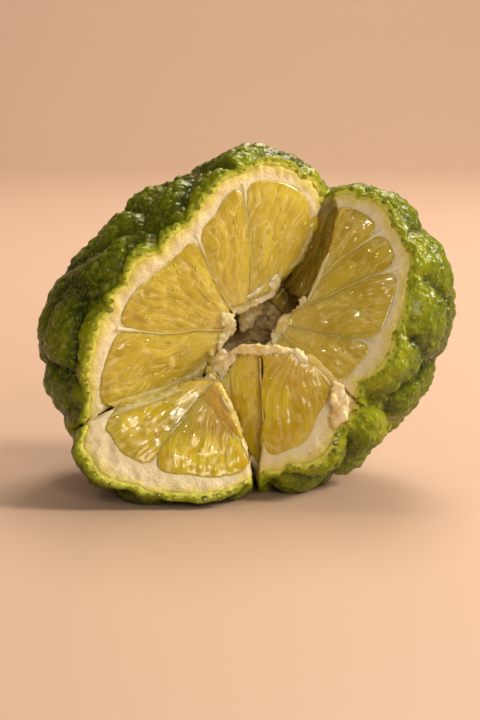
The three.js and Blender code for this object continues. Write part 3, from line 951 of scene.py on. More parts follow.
def film_material():
    """Wet membrane: golden where thin, cream where the pith clings to it."""
    sheet = Sheet("membrane_film")
    deep, pale = sheet.value("deep"), sheet.value("pale")
    place = sheet.place
    cloud = sheet.noise(place, 1.6 * MM, 3, 0.6)
    thread = sheet.noise(place, 0.45 * MM, 3, 0.6)
    golden = sheet.mix(cloud.step(0.35, 0.7), (0.7, 0.5, 0.1), (0.82, 0.64, 0.24))
    cream = sheet.mix(cloud.step(0.35, 0.7), (0.88, 0.75, 0.42), (0.93, 0.84, 0.62))
    colour = sheet.mix(pale, golden, cream)
    colour = sheet.mix(thread.step(0.6, 0.78) * 0.4, colour, (0.62, 0.42, 0.12))
    # painted shade: the film darkens low in the tears
    colour = sheet.mix(deep * 0.8, colour, (0.42, 0.26, 0.06))
    return sheet.finish(
        Base_Color=colour, Roughness=0.22 + thread * 0.25,
        Normal=sheet.bump(thread + cloud * 0.4, 0.14, 0.8),
        Coat_Weight=0.35, Coat_Roughness=0.12,
        Subsurface_Weight=0.6, Subsurface_Radius=(1.0, 0.75, 0.4), Subsurface_Scale=1.5 * MM,
    )


def scar_material():
    """Dry, corky stem scar, green-brown at its rim and pale where the stem broke off."""
    sheet = Sheet("corky_scar")
    ring, place = sheet.value("ring"), sheet.place
    grain = sheet.noise(place, 0.7 * MM, 4, 0.65)
    colour = sheet.mix(grain.step(0.35, 0.65), (0.16, 0.085, 0.02), (0.34, 0.22, 0.07))
    colour = sheet.mix(ring.step(0.9, 0.5), colour, (0.5, 0.38, 0.16))
    colour = sheet.mix((ring + grain).step(2.6, 3.3) * 0.7, colour, (0.08, 0.09, 0.004))
    return sheet.finish(
        Base_Color=colour, Roughness=0.6 + grain * 0.3, Normal=sheet.bump(grain, 0.3, 0.9),
        Specular_IOR_Level=0.3,
    )


def bead_material():
    """Clear juice that stands on the cut in small beads."""
    sheet = Sheet("juice_bead")
    tone = sheet.noise(sheet.place, 2 * MM, 2, 0.5)
    colour = sheet.mix(tone.step(0.4, 0.6), (0.7, 0.52, 0.06), (0.84, 0.7, 0.2))
    return sheet.finish(
        Base_Color=colour, Roughness=0.05 + tone * 0.08, IOR=1.35, Coat_Weight=1.0,
        Coat_Roughness=0.02, Subsurface_Weight=0.5, Subsurface_Radius=(1.0, 0.8, 0.4),
        Subsurface_Scale=0.8 * MM, Specular_IOR_Level=0.8,
    )


def gland_material():
    """Oil glands that the cut opened along the skin."""
    sheet = Sheet("oil_gland")
    tone = sheet.noise(sheet.place, 3 * MM, 2, 0.5)
    colour = sheet.mix(tone.step(0.35, 0.65), (0.16, 0.18, 0.002), (0.34, 0.34, 0.006))
    return sheet.finish(
        Base_Color=colour, Roughness=0.12 + tone * 0.1, Coat_Weight=0.6, Coat_Roughness=0.05,
        Subsurface_Weight=0.3, Subsurface_Radius=(1.0, 1.0, 0.3), Subsurface_Scale=0.5 * MM,
    )


# ---------------------------------------------------------------- the tissues
WHOLE_LOW, WHOLE_HIGH = (-38.5, -34.5, -28.5), (38.5, 33.5, 21.5)


def skin_detail(points, sizes):
    """(height in mm, lobule, pit) of the small bumps and the gland pits at skin points."""
    d = points / np.linalg.norm(points, axis=1)[:, None]
    place = d * 31
    bent = place + np.stack([noise_at(place, 4.5, s) for s in (31, 32, 33)], 1) * 0.9
    near, second, own = cells_at(bent / 3.3, 40)
    lobule = (1 - (near / second) ** 2) * (0.6 + 0.6 * own)
    near, second, own = cells_at(bent / 1.6, 50)
    small = (1 - (near / second) ** 2) * (0.6 + 0.6 * own)
    near, _, own = cells_at(place / 1.05, 60)
    pit = np.exp(-((near / 0.27) ** 2)) * (own > 0.25)
    height = sizes.lobule_height * (lobule - 0.45) + 0.34 * (small - 0.45) - sizes.gland_depth * pit
    return height + 0.25 * noise_at(place, 7, 71), np.clip(lobule * 0.65 + small * 0.4, 0, 1), pit


def make_rind(sizes, colours):
    """The warty skin, pebbled and pitted, with a brighter rim beside the cut."""
    step = 0.4
    space = Space(WHOLE_LOW, WHOLE_HIGH, step)
    skin, under = space.shell("skin"), space.shell("under")
    wall = np.maximum(space.r - skin, under - space.r)
    points, quads = surface(soft_max(wall, space.kept(rough=0.22), 0.25), space)
    radius = np.linalg.norm(points, axis=1)
    depth = shells.at_points("skin", points) - radius
    height, lobule, pit = skin_detail(points, sizes)
    share = 1 - smoothstep(0, RIND_WALL * 0.9, depth)
    floor = REST_HEIGHT + points[:, 1] * math.cos(LEAN_BACK) + points[:, 2] * math.sin(LEAN_BACK)
    share = share * smoothstep(0.05, 2.2, floor)
    points = points * (1 + height * share / radius)[:, None]
    values = {
        "depth": np.clip(depth, 0, RIND_WALL), "crown": shells.at_points("bump", points),
        "lobule": lobule, "pit": pit * share,
        "lip": smoothstep(-3.4, -0.2, sample(space.kept(), space, points)),
    }
    inner = (depth > RIND_WALL * 0.8) & (below_cut(points, space) < -1.2)
    points = points * (1 - 0.6 * inner / radius)[:, None]
    piece = new_mesh("rind_skin", points, quads, values)
    thin_out(piece, inner, 0.55)
    return hand_over(piece, skin_material(colours), "rind", "rind")


def below_cut(points, space):
    """How far below the cut faces and behind the tears each point is, negative inside."""
    return sample(space.kept(rough=0.0), space, points)


def make_pith(sizes, colours):
    """The white layer under the skin, with a room for each segment."""
    step = 0.4
    space = Space(WHOLE_LOW, WHOLE_HIGH, step)
    cavity = space.shell("cavity")
    rooms = np.minimum.reduce([space.locule(n) for n in range(len(SEGMENTS))])
    wall = np.maximum(space.r - space.shell("under") - TISSUE_GAP, -rooms)
    wall = np.maximum(wall, cavity - 2.8 - space.r)
    points, quads = surface(np.maximum(wall, space.kept(lift=-0.12, rough=0.4)), space)
    outward = normals(points, quads)
    face = smoothstep(1.0, 0.2, np.abs(below_cut(points, space)))
    face = face * smoothstep(0.1, 1.3, sample(rooms, space, points))
    lumps = 0.24 * noise_at(points, 1.6, 81) + 0.16 * noise_at(points, 0.7, 82)
    points = points + outward * (lumps * face)[:, None]
    depth = shells.at_points("under", points) - np.linalg.norm(points, axis=1)
    buried = below_cut(points, space) < -1.0
    outside = buried & (depth < 0.4)
    points = points * (1 - 0.4 * outside / np.linalg.norm(points, axis=1))[:, None]
    piece = new_mesh("pith_layer", points, quads, {"depth": depth, "deep": hollow_shade_at(points)})
    thin_out(piece, buried, 0.5)
    return hand_over(piece, pith_material(colours), "pith", "pith")


def hollow_shade_at(points):
    """1 in the hollow and low in the tears, 0 on the cut faces."""
    return smoothstep(1.0, -7.0, points[:, 2])


def make_core(sizes, colours):
    """The ragged core round the torn hollow."""
    step = 0.26
    space = Space((-10, -13, -28), (11, 8, 16), step)
    rough = space.noise(1.5, 91) * 0.7 + space.noise(0.6, 92) * 0.4
    column = polygon_distance(CORE, space.u, space.v)[:, :, None] + rough - 0.2
    field = np.maximum(column, space.r - space.shell("cavity") - 0.3)
    torn = np.abs(space.noise(1.9, 93)) * 2.4 + space.noise(0.7, 94) * 0.5
    field = np.maximum(field, space.kept(lift=0.15, rough=0.8) + torn * 0.5)
    points, quads = surface(field, space)
    deep = hollow_shade_at(points)
    depth = np.full(len(points), 3.0)
    piece = new_mesh("core_column", points, quads, {"depth": depth, "deep": deep})
    return hand_over(piece, pith_material(colours), "core", "core")


def make_tatters(sizes, colours):
    """Fuzzy torn pith and flesh along the middle of the tears."""
    step = 0.19
    space = Space((-11, -19, -8), (18, 10, 17), step)
    fuzz = space.noise(0.5, 601) * 0.24 + space.noise(1.3, 602) * 0.38
    lie = space.noise(2.2, 603) * 0.7
    field = np.float32(9)
    for outline, level, thick in TATTERS:
        edge = polygon_distance(outline, space.u, space.v)[:, :, None]
        height = plane(level, space.u, space.v)[:, :, None]
        slab = np.abs(space.w - height - lie) - thick
        field = np.minimum(field, soft_max(slab + 0.25, edge, 0.5))
    points, quads = surface(field + fuzz, space)
    pale = np.clip(0.8 + 0.5 * noise_at(points, 1.5, 604), 0, 1)
    # painted shade: the torn pith darkens lower in the tears
    values = {"pale": pale, "deep": 0.5 * smoothstep(2.0, -4.0, points[:, 2])}
    piece = new_mesh("torn_pith", points, quads, values)
    return hand_over(piece, film_material(), "pith")


def sac_pattern(points, number, sizes):
    """Coordinates along and across the juice sacs of a segment, and what follows from them."""
    apex = SEGMENTS[number][2]
    u, v = points[:, 0] - apex[0], points[:, 1] - apex[1]
    reach = np.hypot(u, v)
    lines = SEGMENTS[number][1] + SEGMENTS[(number + 1) % len(SEGMENTS)][1]
    middle = np.mean(lines, axis=0) - apex
    theta = np.arctan2(v, u) - math.atan2(middle[1], middle[0])
    theta = np.mod(theta + math.pi, 2 * math.pi) - math.pi
    bend = noise_at(points, 6.0, 100 + number) * 0.9 + noise_at(points, 2.4, 130 + number) * 0.25
    across = theta * (4 + 0.62 * reach) / sizes.sac_width + bend
    sac = np.stack(
        [
            across,
            reach / sizes.sac_length + noise_at(points, 3.0, 160 + number) * 0.3 + number * 7.3,
            points[:, 2] / 2.4 + number * 3.1,
        ],
        1,
    )
    near, second, own = cells_at(sac, 200 + number)
    return sac, reach, second - near, own


def make_segments(sizes, colours):
    """The pulp of each segment, with its juice sacs standing out of the cut."""
    step = 0.27
    material = pulp_material(colours)
    made = []
    for number, (name, _, apex) in enumerate(SEGMENTS):
        low, high = segment_box(number)
        space = Space(low, high, step)
        room = space.locule(number, wall=0.0, reach=0.3)
        side = -polygon_distance(CORE, space.u, space.v)[:, :, None] + 0.15
        kept = space.kept(lift=-0.05, rough=0.45)
        field = np.maximum(np.maximum(room - 0.06, side), kept)
        points, quads = surface(field, space)
        outward = normals(points, quads)
        edge = sample(room, space, points)
        top = below_cut(points, space)
        open_face = smoothstep(-1.3, -0.35, top)
        sac, reach, gap, own = sac_pattern(points, number, sizes)
        dome = smoothstep(0.0, 0.5, gap)
        inward = smoothstep(-0.15, -1.4, edge)
        relief = sizes.sac_relief * (dome - 0.7 + 1.1 * (own - 0.5)) * (0.3 + 0.7 * inward)
        relief = (relief + 0.1 * noise_at(points, 1.2, 240)) * inward
        swell = 0.08 + sizes.pulp_swell * smoothstep(0.0, -2.2, edge)
        points = points + outward * ((relief + swell) * open_face)[:, None]
        values = {
            "vein": 1 - smoothstep(0.0, 0.1, gap), "tint": own, "rim": 1 - smoothstep(0.1, 1.1, -edge),
            "reach": reach / 22, "deep": pulp_hollow_shade(points, name), "sac": sac,
            "lively": np.full(len(points), PAINTED_GLOW.get(name, 0.0)),
            "open": open_face * inward,
            "along": along_sacs(points, apex),
        }
        piece = new_mesh(f"pulp_{name}", points, quads, values)
        made.append(hand_over(piece, material, "pulp", name))
    return made


# Painted glow: how bright and yellow-green each loose segment's pulp is coloured, as if light shone through
# it.
PAINTED_GLOW = {
    "lower_right_segment": 0.75, "sunk_segment": 0.55, "flap_segment_inner": 0.7,
    "flap_segment_outer": 0.25,
}


def pulp_hollow_shade(points, name):
    """How far the pulp lies in the shade of the tears, 0 to 1."""
    deep = smoothstep(3.0, -6.0, points[:, 2])
    if name in ("segment_top", "segment_right_top", "segment_right_high"):
        below = plane(RIGHT_FACE, points[:, 0], points[:, 1]) - points[:, 2]
        edge = polygon_distance(LOBES["tear_slope"][0], points[:, 0], points[:, 1])
        in_slope = smoothstep(1.0, -0.5, edge)
        deep = np.maximum(deep, 0.6 * in_slope * smoothstep(0.3, 2.5, below))
    return deep


def along_sacs(points, apex):
    """The direction of the sacs at each point, in the part's frame."""
    u, v = points[:, 0] - apex[0], points[:, 1] - apex[1]
    size = np.maximum(np.hypot(u, v), 1e-6)
    u, v = u / size, v / size
    return np.stack([u, v * math.sin(LEAN_BACK), v * math.cos(LEAN_BACK)], 1)


def segment_box(number):
    """The box of space that a segment needs."""
    lines = [SEGMENTS[n % len(SEGMENTS)][1] for n in (number, number + 1)]
    near = np.array([p for line in lines for p in line], float)
    size = np.linalg.norm(near, axis=1)
    near = near * np.minimum(1, 33 / np.maximum(size, 1e-6))[:, None]
    low, high = near.min(0) - 2.5, near.max(0) + 2.5
    return (max(low[0], -36), max(low[1], -31), -25), (min(high[0], 36), min(high[1], 31), 21)


def make_stem_scar(sizes, colours):
    """The dry scar in the dimple at the stem end."""
    step = 0.15
    dimple = float(shells.at("skin", np.zeros(1), np.full(1, math.pi))[0])
    space = Space((-4.2, -4.2, -dimple - 1.6), (4.2, 4.2, -dimple + 2.4), step)
    turned = np.radians(space.angle)
    petals = 2.5 + 0.55 * np.cos(5 * turned + 0.7) + 0.2 * np.cos(2 * turned)
    rough = space.noise(1.1, 701) * 0.22 + space.noise(0.45, 702) * 0.1
    rise = 0.75 * np.exp(-((space.flat - 1.5) ** 2)) - 0.5 * np.exp(-((space.flat / 0.8) ** 2))
    top = space.r - space.shell("skin") - 0.15 - rise * smoothstep(3.2, 1.8, space.flat)
    field = np.maximum(soft_max(top, space.flat - petals, 0.7), space.shell("skin") - 1.0 - space.r)
    points, quads = surface(field + rough, space)
    ring = np.hypot(points[:, 0], points[:, 1])
    piece = new_mesh("stem_scar", points, quads, {"ring": ring})
    return hand_over(piece, scar_material(), "rind")


# ---------------------------------------------------------------- membranes and films
def top_height(u, v):
    """Height of the cut faces over points of the cut plane, without their roughness."""
    flat = np.hypot(u, v)
    height = np.interp(flat, *zip(*BOWL_TOP))
    for outline, faces in LOBES.values():
        inside = polygon_distance(outline, u, v) < 0.05
        top = np.minimum.reduce([plane(face, u, v) for face in faces])
        height = np.where(inside, np.maximum(height, top), height)
    return height


def resampled(line, spacing):
    """Evenly spaced points along a line, and how far along it each one is."""
    line = np.asarray(line, float)
    lengths = np.concatenate([[0], np.cumsum(np.linalg.norm(np.diff(line, axis=0), axis=1))])
    count = max(int(lengths[-1] / spacing), 3)
    s = np.linspace(0, lengths[-1], count)
    return np.stack([np.interp(s, lengths, line[:, a]) for a in range(line.shape[1])], 1), s


def ribbon(course, reach, half):
    """A closed strip: course is (n, rows, 3), the middle of its section at each place along it,
    reach (n, 3) the direction along it, and half (n, rows) its half thickness."""
    n, rows = course.shape[:2]
    along_rows = np.gradient(course, axis=1)
    face = np.cross(reach[:, None, :], along_rows)
    face /= np.maximum(np.linalg.norm(face, axis=2), 1e-9)[:, :, None]
    grid = np.empty((n, 2 * rows, 3))
    grid[:, :rows] = course + face * half[:, :, None]
    grid[:, rows:] = (course - face * half[:, :, None])[:, ::-1]
    points = grid.reshape(-1, 3)
    i, j = np.meshgrid(np.arange(n - 1), np.arange(2 * rows), indexing="ij")
    k = (j + 1) % (2 * rows)
    quads = np.stack([i * 2 * rows + j, i * 2 * rows + k, (i + 1) * 2 * rows + k,
                      (i + 1) * 2 * rows + j], -1).reshape(-1, 4)
    caps = []
    for base, flip in ((0, True), ((n - 1) * 2 * rows, False)):
        for row in range(rows - 1):
            cap = [base + row, base + row + 1, base + 2 * rows - 2 - row, base + 2 * rows - 1 - row]
            caps.append(cap[::-1] if flip else cap)
    quads = np.concatenate([quads, np.array(caps)])
    a, b, c, d = (points[quads[:, k]] for k in range(4))
    volume = np.einsum("ij,ij->", a, np.cross(b, c)) + np.einsum("ij,ij->", a, np.cross(c, d))
    return points, quads if volume > 0 else quads[:, ::-1]


def line_frame(line, spacing):
    """Points along a line of the cut plane, how far along they are, and two directions there."""
    centre, s = resampled(line, spacing)
    tangent = np.gradient(centre, axis=0)
    tangent /= np.maximum(np.linalg.norm(tangent, axis=1), 1e-9)[:, None]
    side = np.stack([-tangent[:, 1], tangent[:, 0]], 1)
    return centre, s, tangent, side


class Strips:
    """Ribbons gathered into one mesh."""

    def __init__(self):
        self.points, self.quads, self.pale = [], [], []

    def add(self, course, tangent, half, pale):
        reach = np.column_stack([tangent, np.zeros(len(tangent))])
        points, quads = ribbon(course, reach, half)
        self.quads.append(quads + sum(len(p) for p in self.points))
        self.points.append(points)
        self.pale.append(np.concatenate([pale, pale[:, ::-1]], 1).ravel())

    def make(self, name):
        points = np.concatenate(self.points)
        # painted shade: membranes and films darken lower in the tears
        values = {"deep": smoothstep(1.0, -8.0, points[:, 2]), "pale": np.concatenate(self.pale)}
        return new_mesh(name, points, np.concatenate(self.quads), values, 60)


def make_membranes(sizes, colours):
    """The walls between segments, thicker and paler where they meet the pith."""
    strips = Strips()
    rows = np.array([-9.0, -5.0, -2.5, -1.0, -0.3, 0.0])
    for number, (_, line, _) in enumerate(SEGMENTS):
        if number in TORN_MEMBRANES:
            continue
        centre, s, tangent, side = line_frame(line, 0.35)
        top = np.maximum(*(top_height(*(centre + side * step).T) for step in (0.4, -0.4)))
        flat = np.hypot(*centre.T)
        angle = np.degrees(np.arctan2(centre[:, 1], centre[:, 0]))
        beyond = np.hypot(flat, top) > shells.at("cavity", angle, np.arctan2(flat, top)) + 0.9
        last = int(np.argmax(beyond)) or len(beyond)
        centre, side, top, tangent, s = (x[:last] for x in (centre, side, top, tangent, s))
        place = np.column_stack([centre, top])
        centre = centre + side * (noise_at(place, 3.0, 300 + number) * 0.2)[:, None]
        lip = 0.12 * noise_at(place, 1.1, 320 + number) - 0.5 * (number == 7)
        course = np.empty((last, len(rows), 3))
        course[:, :, :2] = centre[:, None, :]
        course[:, :, 2] = top[:, None] + rows + lip[:, None]
        half = np.full((last, len(rows)), sizes.membrane_wall / 2)
        half *= 1 + 0.4 * noise_at(place, 1.6, 340 + number)[:, None]
        half *= (1 + 1.6 * smoothstep(s[-1] - 4.5, s[-1], s))[:, None]
        half[:, -1] *= 0.5
        pale = np.repeat((0.1 + 0.9 * smoothstep(s[-1] - 8, s[-1] - 1, s))[:, None], len(rows), 1)
        strips.add(course, tangent, half, pale)
    return hand_over(strips.make("membranes"), film_material(), "pith")


# Torn film: its root line in the cut plane, how far it reaches to the left of that line, how far
# it rises, how ragged its edge is, its half thickness, and how pale it is.
FILMS = (
    (((7.8, -5.6), (10.2, -6.8), (12.4, -9.0), (13.8, -11.4)), 0.9, 0.5, 0.4, 0.1, 0.3),
    (((-23.0, -13.6), (-18.0, -12.0), (-14.3, -10.9), (-9.2, -8.3), (-5.8, -4.9)),
     -1.5, -0.7, 0.35, 0.14, 0.15),
    (((5.0, 7.4), (8.2, 10.8), (10.4, 15.6)), -0.6, -0.9, 0.5, 0.12, 0.2),
    (((12.9, 11.2), (11.2, 6.8), (9.4, 3.4)), -0.4, -0.8, 0.5, 0.12, 0.4),
    (((-5.2, -11.0), (-3.6, -14.0), (-1.9, -18.2), (-0.4, -22.0)), 0.7, -0.6, 0.5, 0.12, 0.2),
    (((-22.4, -15.4), (-16.8, -13.6), (-11.0, -11.2)), 1.0, -0.5, 0.5, 0.12, 0.25),
)
# Torn flesh and pith: an outline in the cut plane, the sloping level of its middle, and its half
# thickness.
TATTERS = (
    (((-6.4, -6.9), (-5.0, -5.4), (-2.6, -4.6), (-0.8, -3.8), (3.4, -4.0), (7.4, -4.4), (9.2, -6.2),
      (8.9, -8.0), (7.6, -7.2), (6.6, -6.0), (2.4, -5.7), (-2.4, -5.4), (-4.6, -6.4)),
     (12.4, 0.1, 0.1), 0.7),
    (((-3.6, 2.8), (-1.6, 3.6), (2.6, 6.2), (4.6, 8.2), (5.6, 6.6), (3.6, 4.2), (0.6, 2.2), (-1.9, 1.1)),
     (3.3, -0.48, 0.5), 0.9),
    (((-4.9, 1.8), (-4.6, -1.2), (-5.9, -3.9), (-5.2, -5.0), (-3.4, -2.6), (-2.2, -0.6), (-2.5, 1.6)),
     (4.6, -0.48, 0.27), 0.9),
    (((9.9, 3.3), (7.4, 0.6), (5.6, -3.6), (4.0, -4.2), (3.4, -2.0), (4.8, 0.4), (6.8, 2.0), (8.8, 4.0)),
     (4.4, 0.4, -0.28), 0.9),
    (((13.2, -9.8), (13.0, -12.4), (12.8, -15.4), (13.8, -17.2), (15.4, -16.0), (15.9, -13.2),
      (15.0, -10.6)),
     (13.4, 0.1, 0.0), 1.1),
    (((-2.0, 1.4), (0.4, 2.6), (2.4, 4.0), (2.0, 1.6), (0.4, -1.0), (-1.4, -1.6)),
     (-2.6, -0.3, 0.5), 2.2),
    (((-9.0, -9.6), (-6.6, -8.9), (-4.9, -10.2), (-5.6, -11.4), (-8.0, -11.2)), (13.2, 0.2, 0.3), 0.7),
)


def make_films(sizes, colours):
    """Ragged film and threads that hang from the torn edges."""
    strips = Strips()
    rows = np.array([-0.5, -0.2, 0.0, 0.3, 0.55, 0.8, 1.0])
    for number, (line, reach, rise, ragged, thick, pale) in enumerate(FILMS):
        centre, s, tangent, side = line_frame(line, 0.2)
        top = np.maximum(*(top_height(*(centre + side * step).T) for step in (0.4, -0.4)))
        top = smooth_line(top, 6)
        place = np.column_stack([centre, top])
        tooth = noise_at(place, 0.45, 400 + number) * 0.5 + noise_at(place, 1.9, 420 + number) * 0.8
        ends = np.minimum(smoothstep(0, 1.8, s), smoothstep(s[-1], s[-1] - 1.8, s))
        long = np.maximum(1 + tooth * ragged, 0.12) * (0.1 + 0.9 * ends)
        out = np.maximum(rows, 0)[None, :] * long[:, None]
        curl = noise_at(place, 2.4, 440 + number)[:, None] * 0.5 * out
        crumple = noise_at(place, 0.8, 460 + number)[:, None] * 0.25 * out
        course = np.empty((len(s), len(rows), 3))
        sideways = out * reach + np.minimum(rows, 0) * math.copysign(1.2, reach)
        course[:, :, :2] = centre[:, None, :] + side[:, None, :] * sideways[:, :, None]
        course[:, :, 2] = top[:, None] + 0.12 + rise * out**1.5 + curl + crumple
        course[:, :, 2] += np.minimum(rows, 0) * 2.0
        half = np.full(course.shape[:2], thick)
        half *= 1 + 0.35 * noise_at(place, 0.9, 480 + number)[:, None]
        half[:, -2:] *= (0.7, 0.3)
        shade = np.clip(pale + 0.25 * noise_at(place, 1.4, 500 + number), 0, 1)
        strips.add(course, tangent, half, np.repeat(shade[:, None], len(rows), 1))
    return hand_over(strips.make("torn_film"), film_material(), "pith")


def smooth_line(values, times):
    """Values along a line, blended with their neighbours."""
    for _ in range(times):
        padded = np.concatenate([values[:1], values, values[-1:]])
        values = (padded[:-2] + 2 * padded[1:-1] + padded[2:]) / 4
    return values


# ---------------------------------------------------------------- things that repeat
class Plan:
    """A Geometry Nodes tree with named inputs."""

    def __init__(self, name, inputs):
        self.tree = bpy.data.node_groups.new(name, "GeometryNodeTree")
        self.tree.interface.new_socket("Geometry", in_out="INPUT", socket_type="NodeSocketGeometry")
        self.tree.interface.new_socket("Geometry", in_out="OUTPUT", socket_type="NodeSocketGeometry")
        for key, (kind, _) in inputs.items():
            self.tree.interface.new_socket(key, in_out="INPUT", socket_type=kind)
        self.inputs = inputs
        self.given = self.tree.nodes.new("NodeGroupInput")
        self.result = self.tree.nodes.new("NodeGroupOutput")

    def add(self, kind, settings=None, **inputs):
        node = self.tree.nodes.new(kind)
        for key, value in (settings or {}).items():
            setattr(node, key, value)
        for key, value in inputs.items():
            socket = node.inputs[key.replace("_", " ")]
            if isinstance(value, bpy.types.NodeSocket):
                self.tree.links.new(value, socket)
            else:
                socket.default_value = value
        return node

    def finish(self, instances, material):
        real = self.add("GeometryNodeRealizeInstances", Geometry=instances)
        shaded = self.add("GeometryNodeSetMaterial", Geometry=real.outputs[0], Material=material)
        self.tree.links.new(shaded.outputs[0], self.result.inputs[0])

    def apply(self, piece):
        modifier = piece.modifiers.new(self.tree.name, "NODES")
        modifier.node_group = self.tree
        for item in self.tree.interface.items_tree:
            if item.in_out == "INPUT" and item.name in self.inputs:
                modifier[item.identifier] = self.inputs[item.name][1]
        bake(piece)


def scatter_plan(name, material, spacing, density, length, width, height, seed):
    """Small drops on a surface, laid along its sacs."""
    plan = Plan(name, {
        "Spacing": ("NodeSocketFloat", spacing * MM), "Density": ("NodeSocketFloat", density),
        "Length": ("NodeSocketFloat", length * MM), "Width": ("NodeSocketFloat", width * MM),
        "Height": ("NodeSocketFloat", height * MM), "Seed": ("NodeSocketInt", seed),
    })
    given = plan.given.outputs
    spread = plan.add("GeometryNodeDistributePointsOnFaces", {"distribute_method": "POISSON"},
                      Mesh=given["Geometry"], Distance_Min=given["Spacing"],
                      Density_Max=given["Density"], Seed=given["Seed"])
    drop = plan.add("GeometryNodeMeshUVSphere", Segments=8, Rings=6, Radius=0.5)
    size = plan.add("ShaderNodeCombineXYZ", X=given["Length"], Y=given["Width"], Z=given["Height"])
    vary = plan.add("FunctionNodeRandomValue", {"data_type": "FLOAT"}, Seed=given["Seed"])
    vary.inputs[2].default_value = 0.25
    vary.inputs[3].default_value = 1.35
    scale = plan.add("ShaderNodeVectorMath", {"operation": "SCALE"}, Vector=size.outputs[0],
                     Scale=vary.outputs[1])
    stand = plan.add("FunctionNodeAlignRotationToVector", {"axis": "Z"}, Vector=spread.outputs["Normal"])
    course = plan.add("GeometryNodeInputNamedAttribute", {"data_type": "FLOAT_VECTOR"}, Name="along")
    turn = plan.add("FunctionNodeAlignRotationToVector", {"axis": "X", "pivot_axis": "Z"},
                    Rotation=stand.outputs[0], Vector=course.outputs[0])
    placed = plan.add("GeometryNodeInstanceOnPoints", Points=spread.outputs["Points"],
                      Instance=drop.outputs["Mesh"], Rotation=turn.outputs[0], Scale=scale.outputs[0])
    plan.finish(placed.outputs[0], material)
    return plan


def faces_where(pieces, chosen):
    """One mesh of the faces of pieces whose corners all pass a test of the point values."""
    points, faces, course = [], [], []
    offset = 0
    for piece in pieces:
        mesh = piece.data
        count = len(mesh.vertices)
        place = np.empty(count * 3, np.float32)
        mesh.vertices.foreach_get("co", place)
        keep = chosen(mesh, place.reshape(-1, 3))
        corners = np.empty(len(mesh.loops), np.int32)
        mesh.loops.foreach_get("vertex_index", corners)
        starts = np.empty(len(mesh.polygons), np.int32)
        totals = np.empty(len(mesh.polygons), np.int32)
        mesh.polygons.foreach_get("loop_start", starts)
        mesh.polygons.foreach_get("loop_total", totals)
        tri = np.concatenate([
            np.stack([corners[starts], corners[starts + 1], corners[starts + 2]], 1),
            np.stack([corners[starts[totals == 4]], corners[starts[totals == 4] + 2],
                      corners[starts[totals == 4] + 3]], 1),
        ])
        tri = tri[keep[tri].all(1)]
        used, tri = np.unique(tri, return_inverse=True)
        points.append(place.reshape(-1, 3)[used])
        faces.append(tri.reshape(-1, 3) + offset)
        offset += len(used)
        course.append(read_value(mesh, "along", 3)[used] if "along" in mesh.attributes
                      else np.tile([1.0, 0, 0], (len(used), 1)))
    mesh = bpy.data.meshes.new("ground")
    mesh.from_pydata(np.concatenate(points).tolist(), [], np.concatenate(faces).tolist())
    layer = mesh.attributes.new("along", "FLOAT_VECTOR", "POINT")
    layer.data.foreach_set("vector", np.concatenate(course).astype(np.float32).ravel())
    return mesh


def read_value(mesh, name, width=1):
    """A point attribute of a mesh as an array."""
    out = np.empty(len(mesh.vertices) * width, np.float32)
    mesh.attributes[name].data.foreach_get("vector" if width == 3 else "value", out)
    return out.reshape(-1, width) if width > 1 else out


def scattered(name, ground, plan, material, slot):
    """The piece that a plan makes on a ground mesh."""
    piece = bpy.data.objects.new(name, ground)
    bpy.context.scene.collection.objects.link(piece)
    plan.apply(piece)
    if not piece.data.polygons:
        raise RuntimeError(f"{name} came out empty")
    piece.data.polygons.foreach_set("use_smooth", np.ones(len(piece.data.polygons), bool))
    return hand_over(piece, material, slot)


def make_beads(sizes, colours):
    """Beads of juice over the open pulp."""
    pulp = [o for o in bpy.data.objects if o.name.startswith("pulp_")]
    ground = faces_where(pulp, lambda mesh, place: read_value(mesh, "open") > 0.6)
    material = bead_material()
    plan = scatter_plan("juice_beads", material, 0.9, 1.6e5, 0.85, 0.4, 0.3, 5)
    return scattered("juice_beads", ground, plan, material, "pulp")


def make_glands(sizes, colours):
    """Oil glands in the cut edge of the skin."""
    rind = [bpy.data.objects["rind_skin"]]

    def in_strip(mesh, place):
        depth = read_value(mesh, "depth")
        return (depth > 0.45) & (depth < 1.1)

    ground = faces_where(rind, in_strip)
    material = gland_material()
    plan = scatter_plan("oil_glands", material, 1.0, 4e6, 1.0, 0.75, 0.16, 9)
    return scattered("oil_glands", ground, plan, material, "rind")


# ---------------------------------------------------------------- stage
LIGHT_COLOUR = (1.0, 0.87, 0.7)
# Each lamp's name, its place and its aim from the fruit's centre, its width and its power.
LAMPS = (
    ("key", (0.56, -0.02, 0.36), (0, 0, 0), 0.2, 4.7),
    ("front", (0.17, -0.7, 0.26), (0, 0, 0), 0.25, 1.45),
    ("sparkle", (0.16, -0.55, 0.34), (0, 0, 0), 0.03, 0.4),
    ("glint", (-0.3, -0.4, 0.5), (0, 0, 0), 0.04, 0.25),
    ("rim", (0.12, 0.4, 0.5), (0, 0, 0), 0.25, 2.2),
    ("wash", (0.1, 0.35, 0.8), (0.15, 0.95, 0.15), 0.5, 4.8),
)


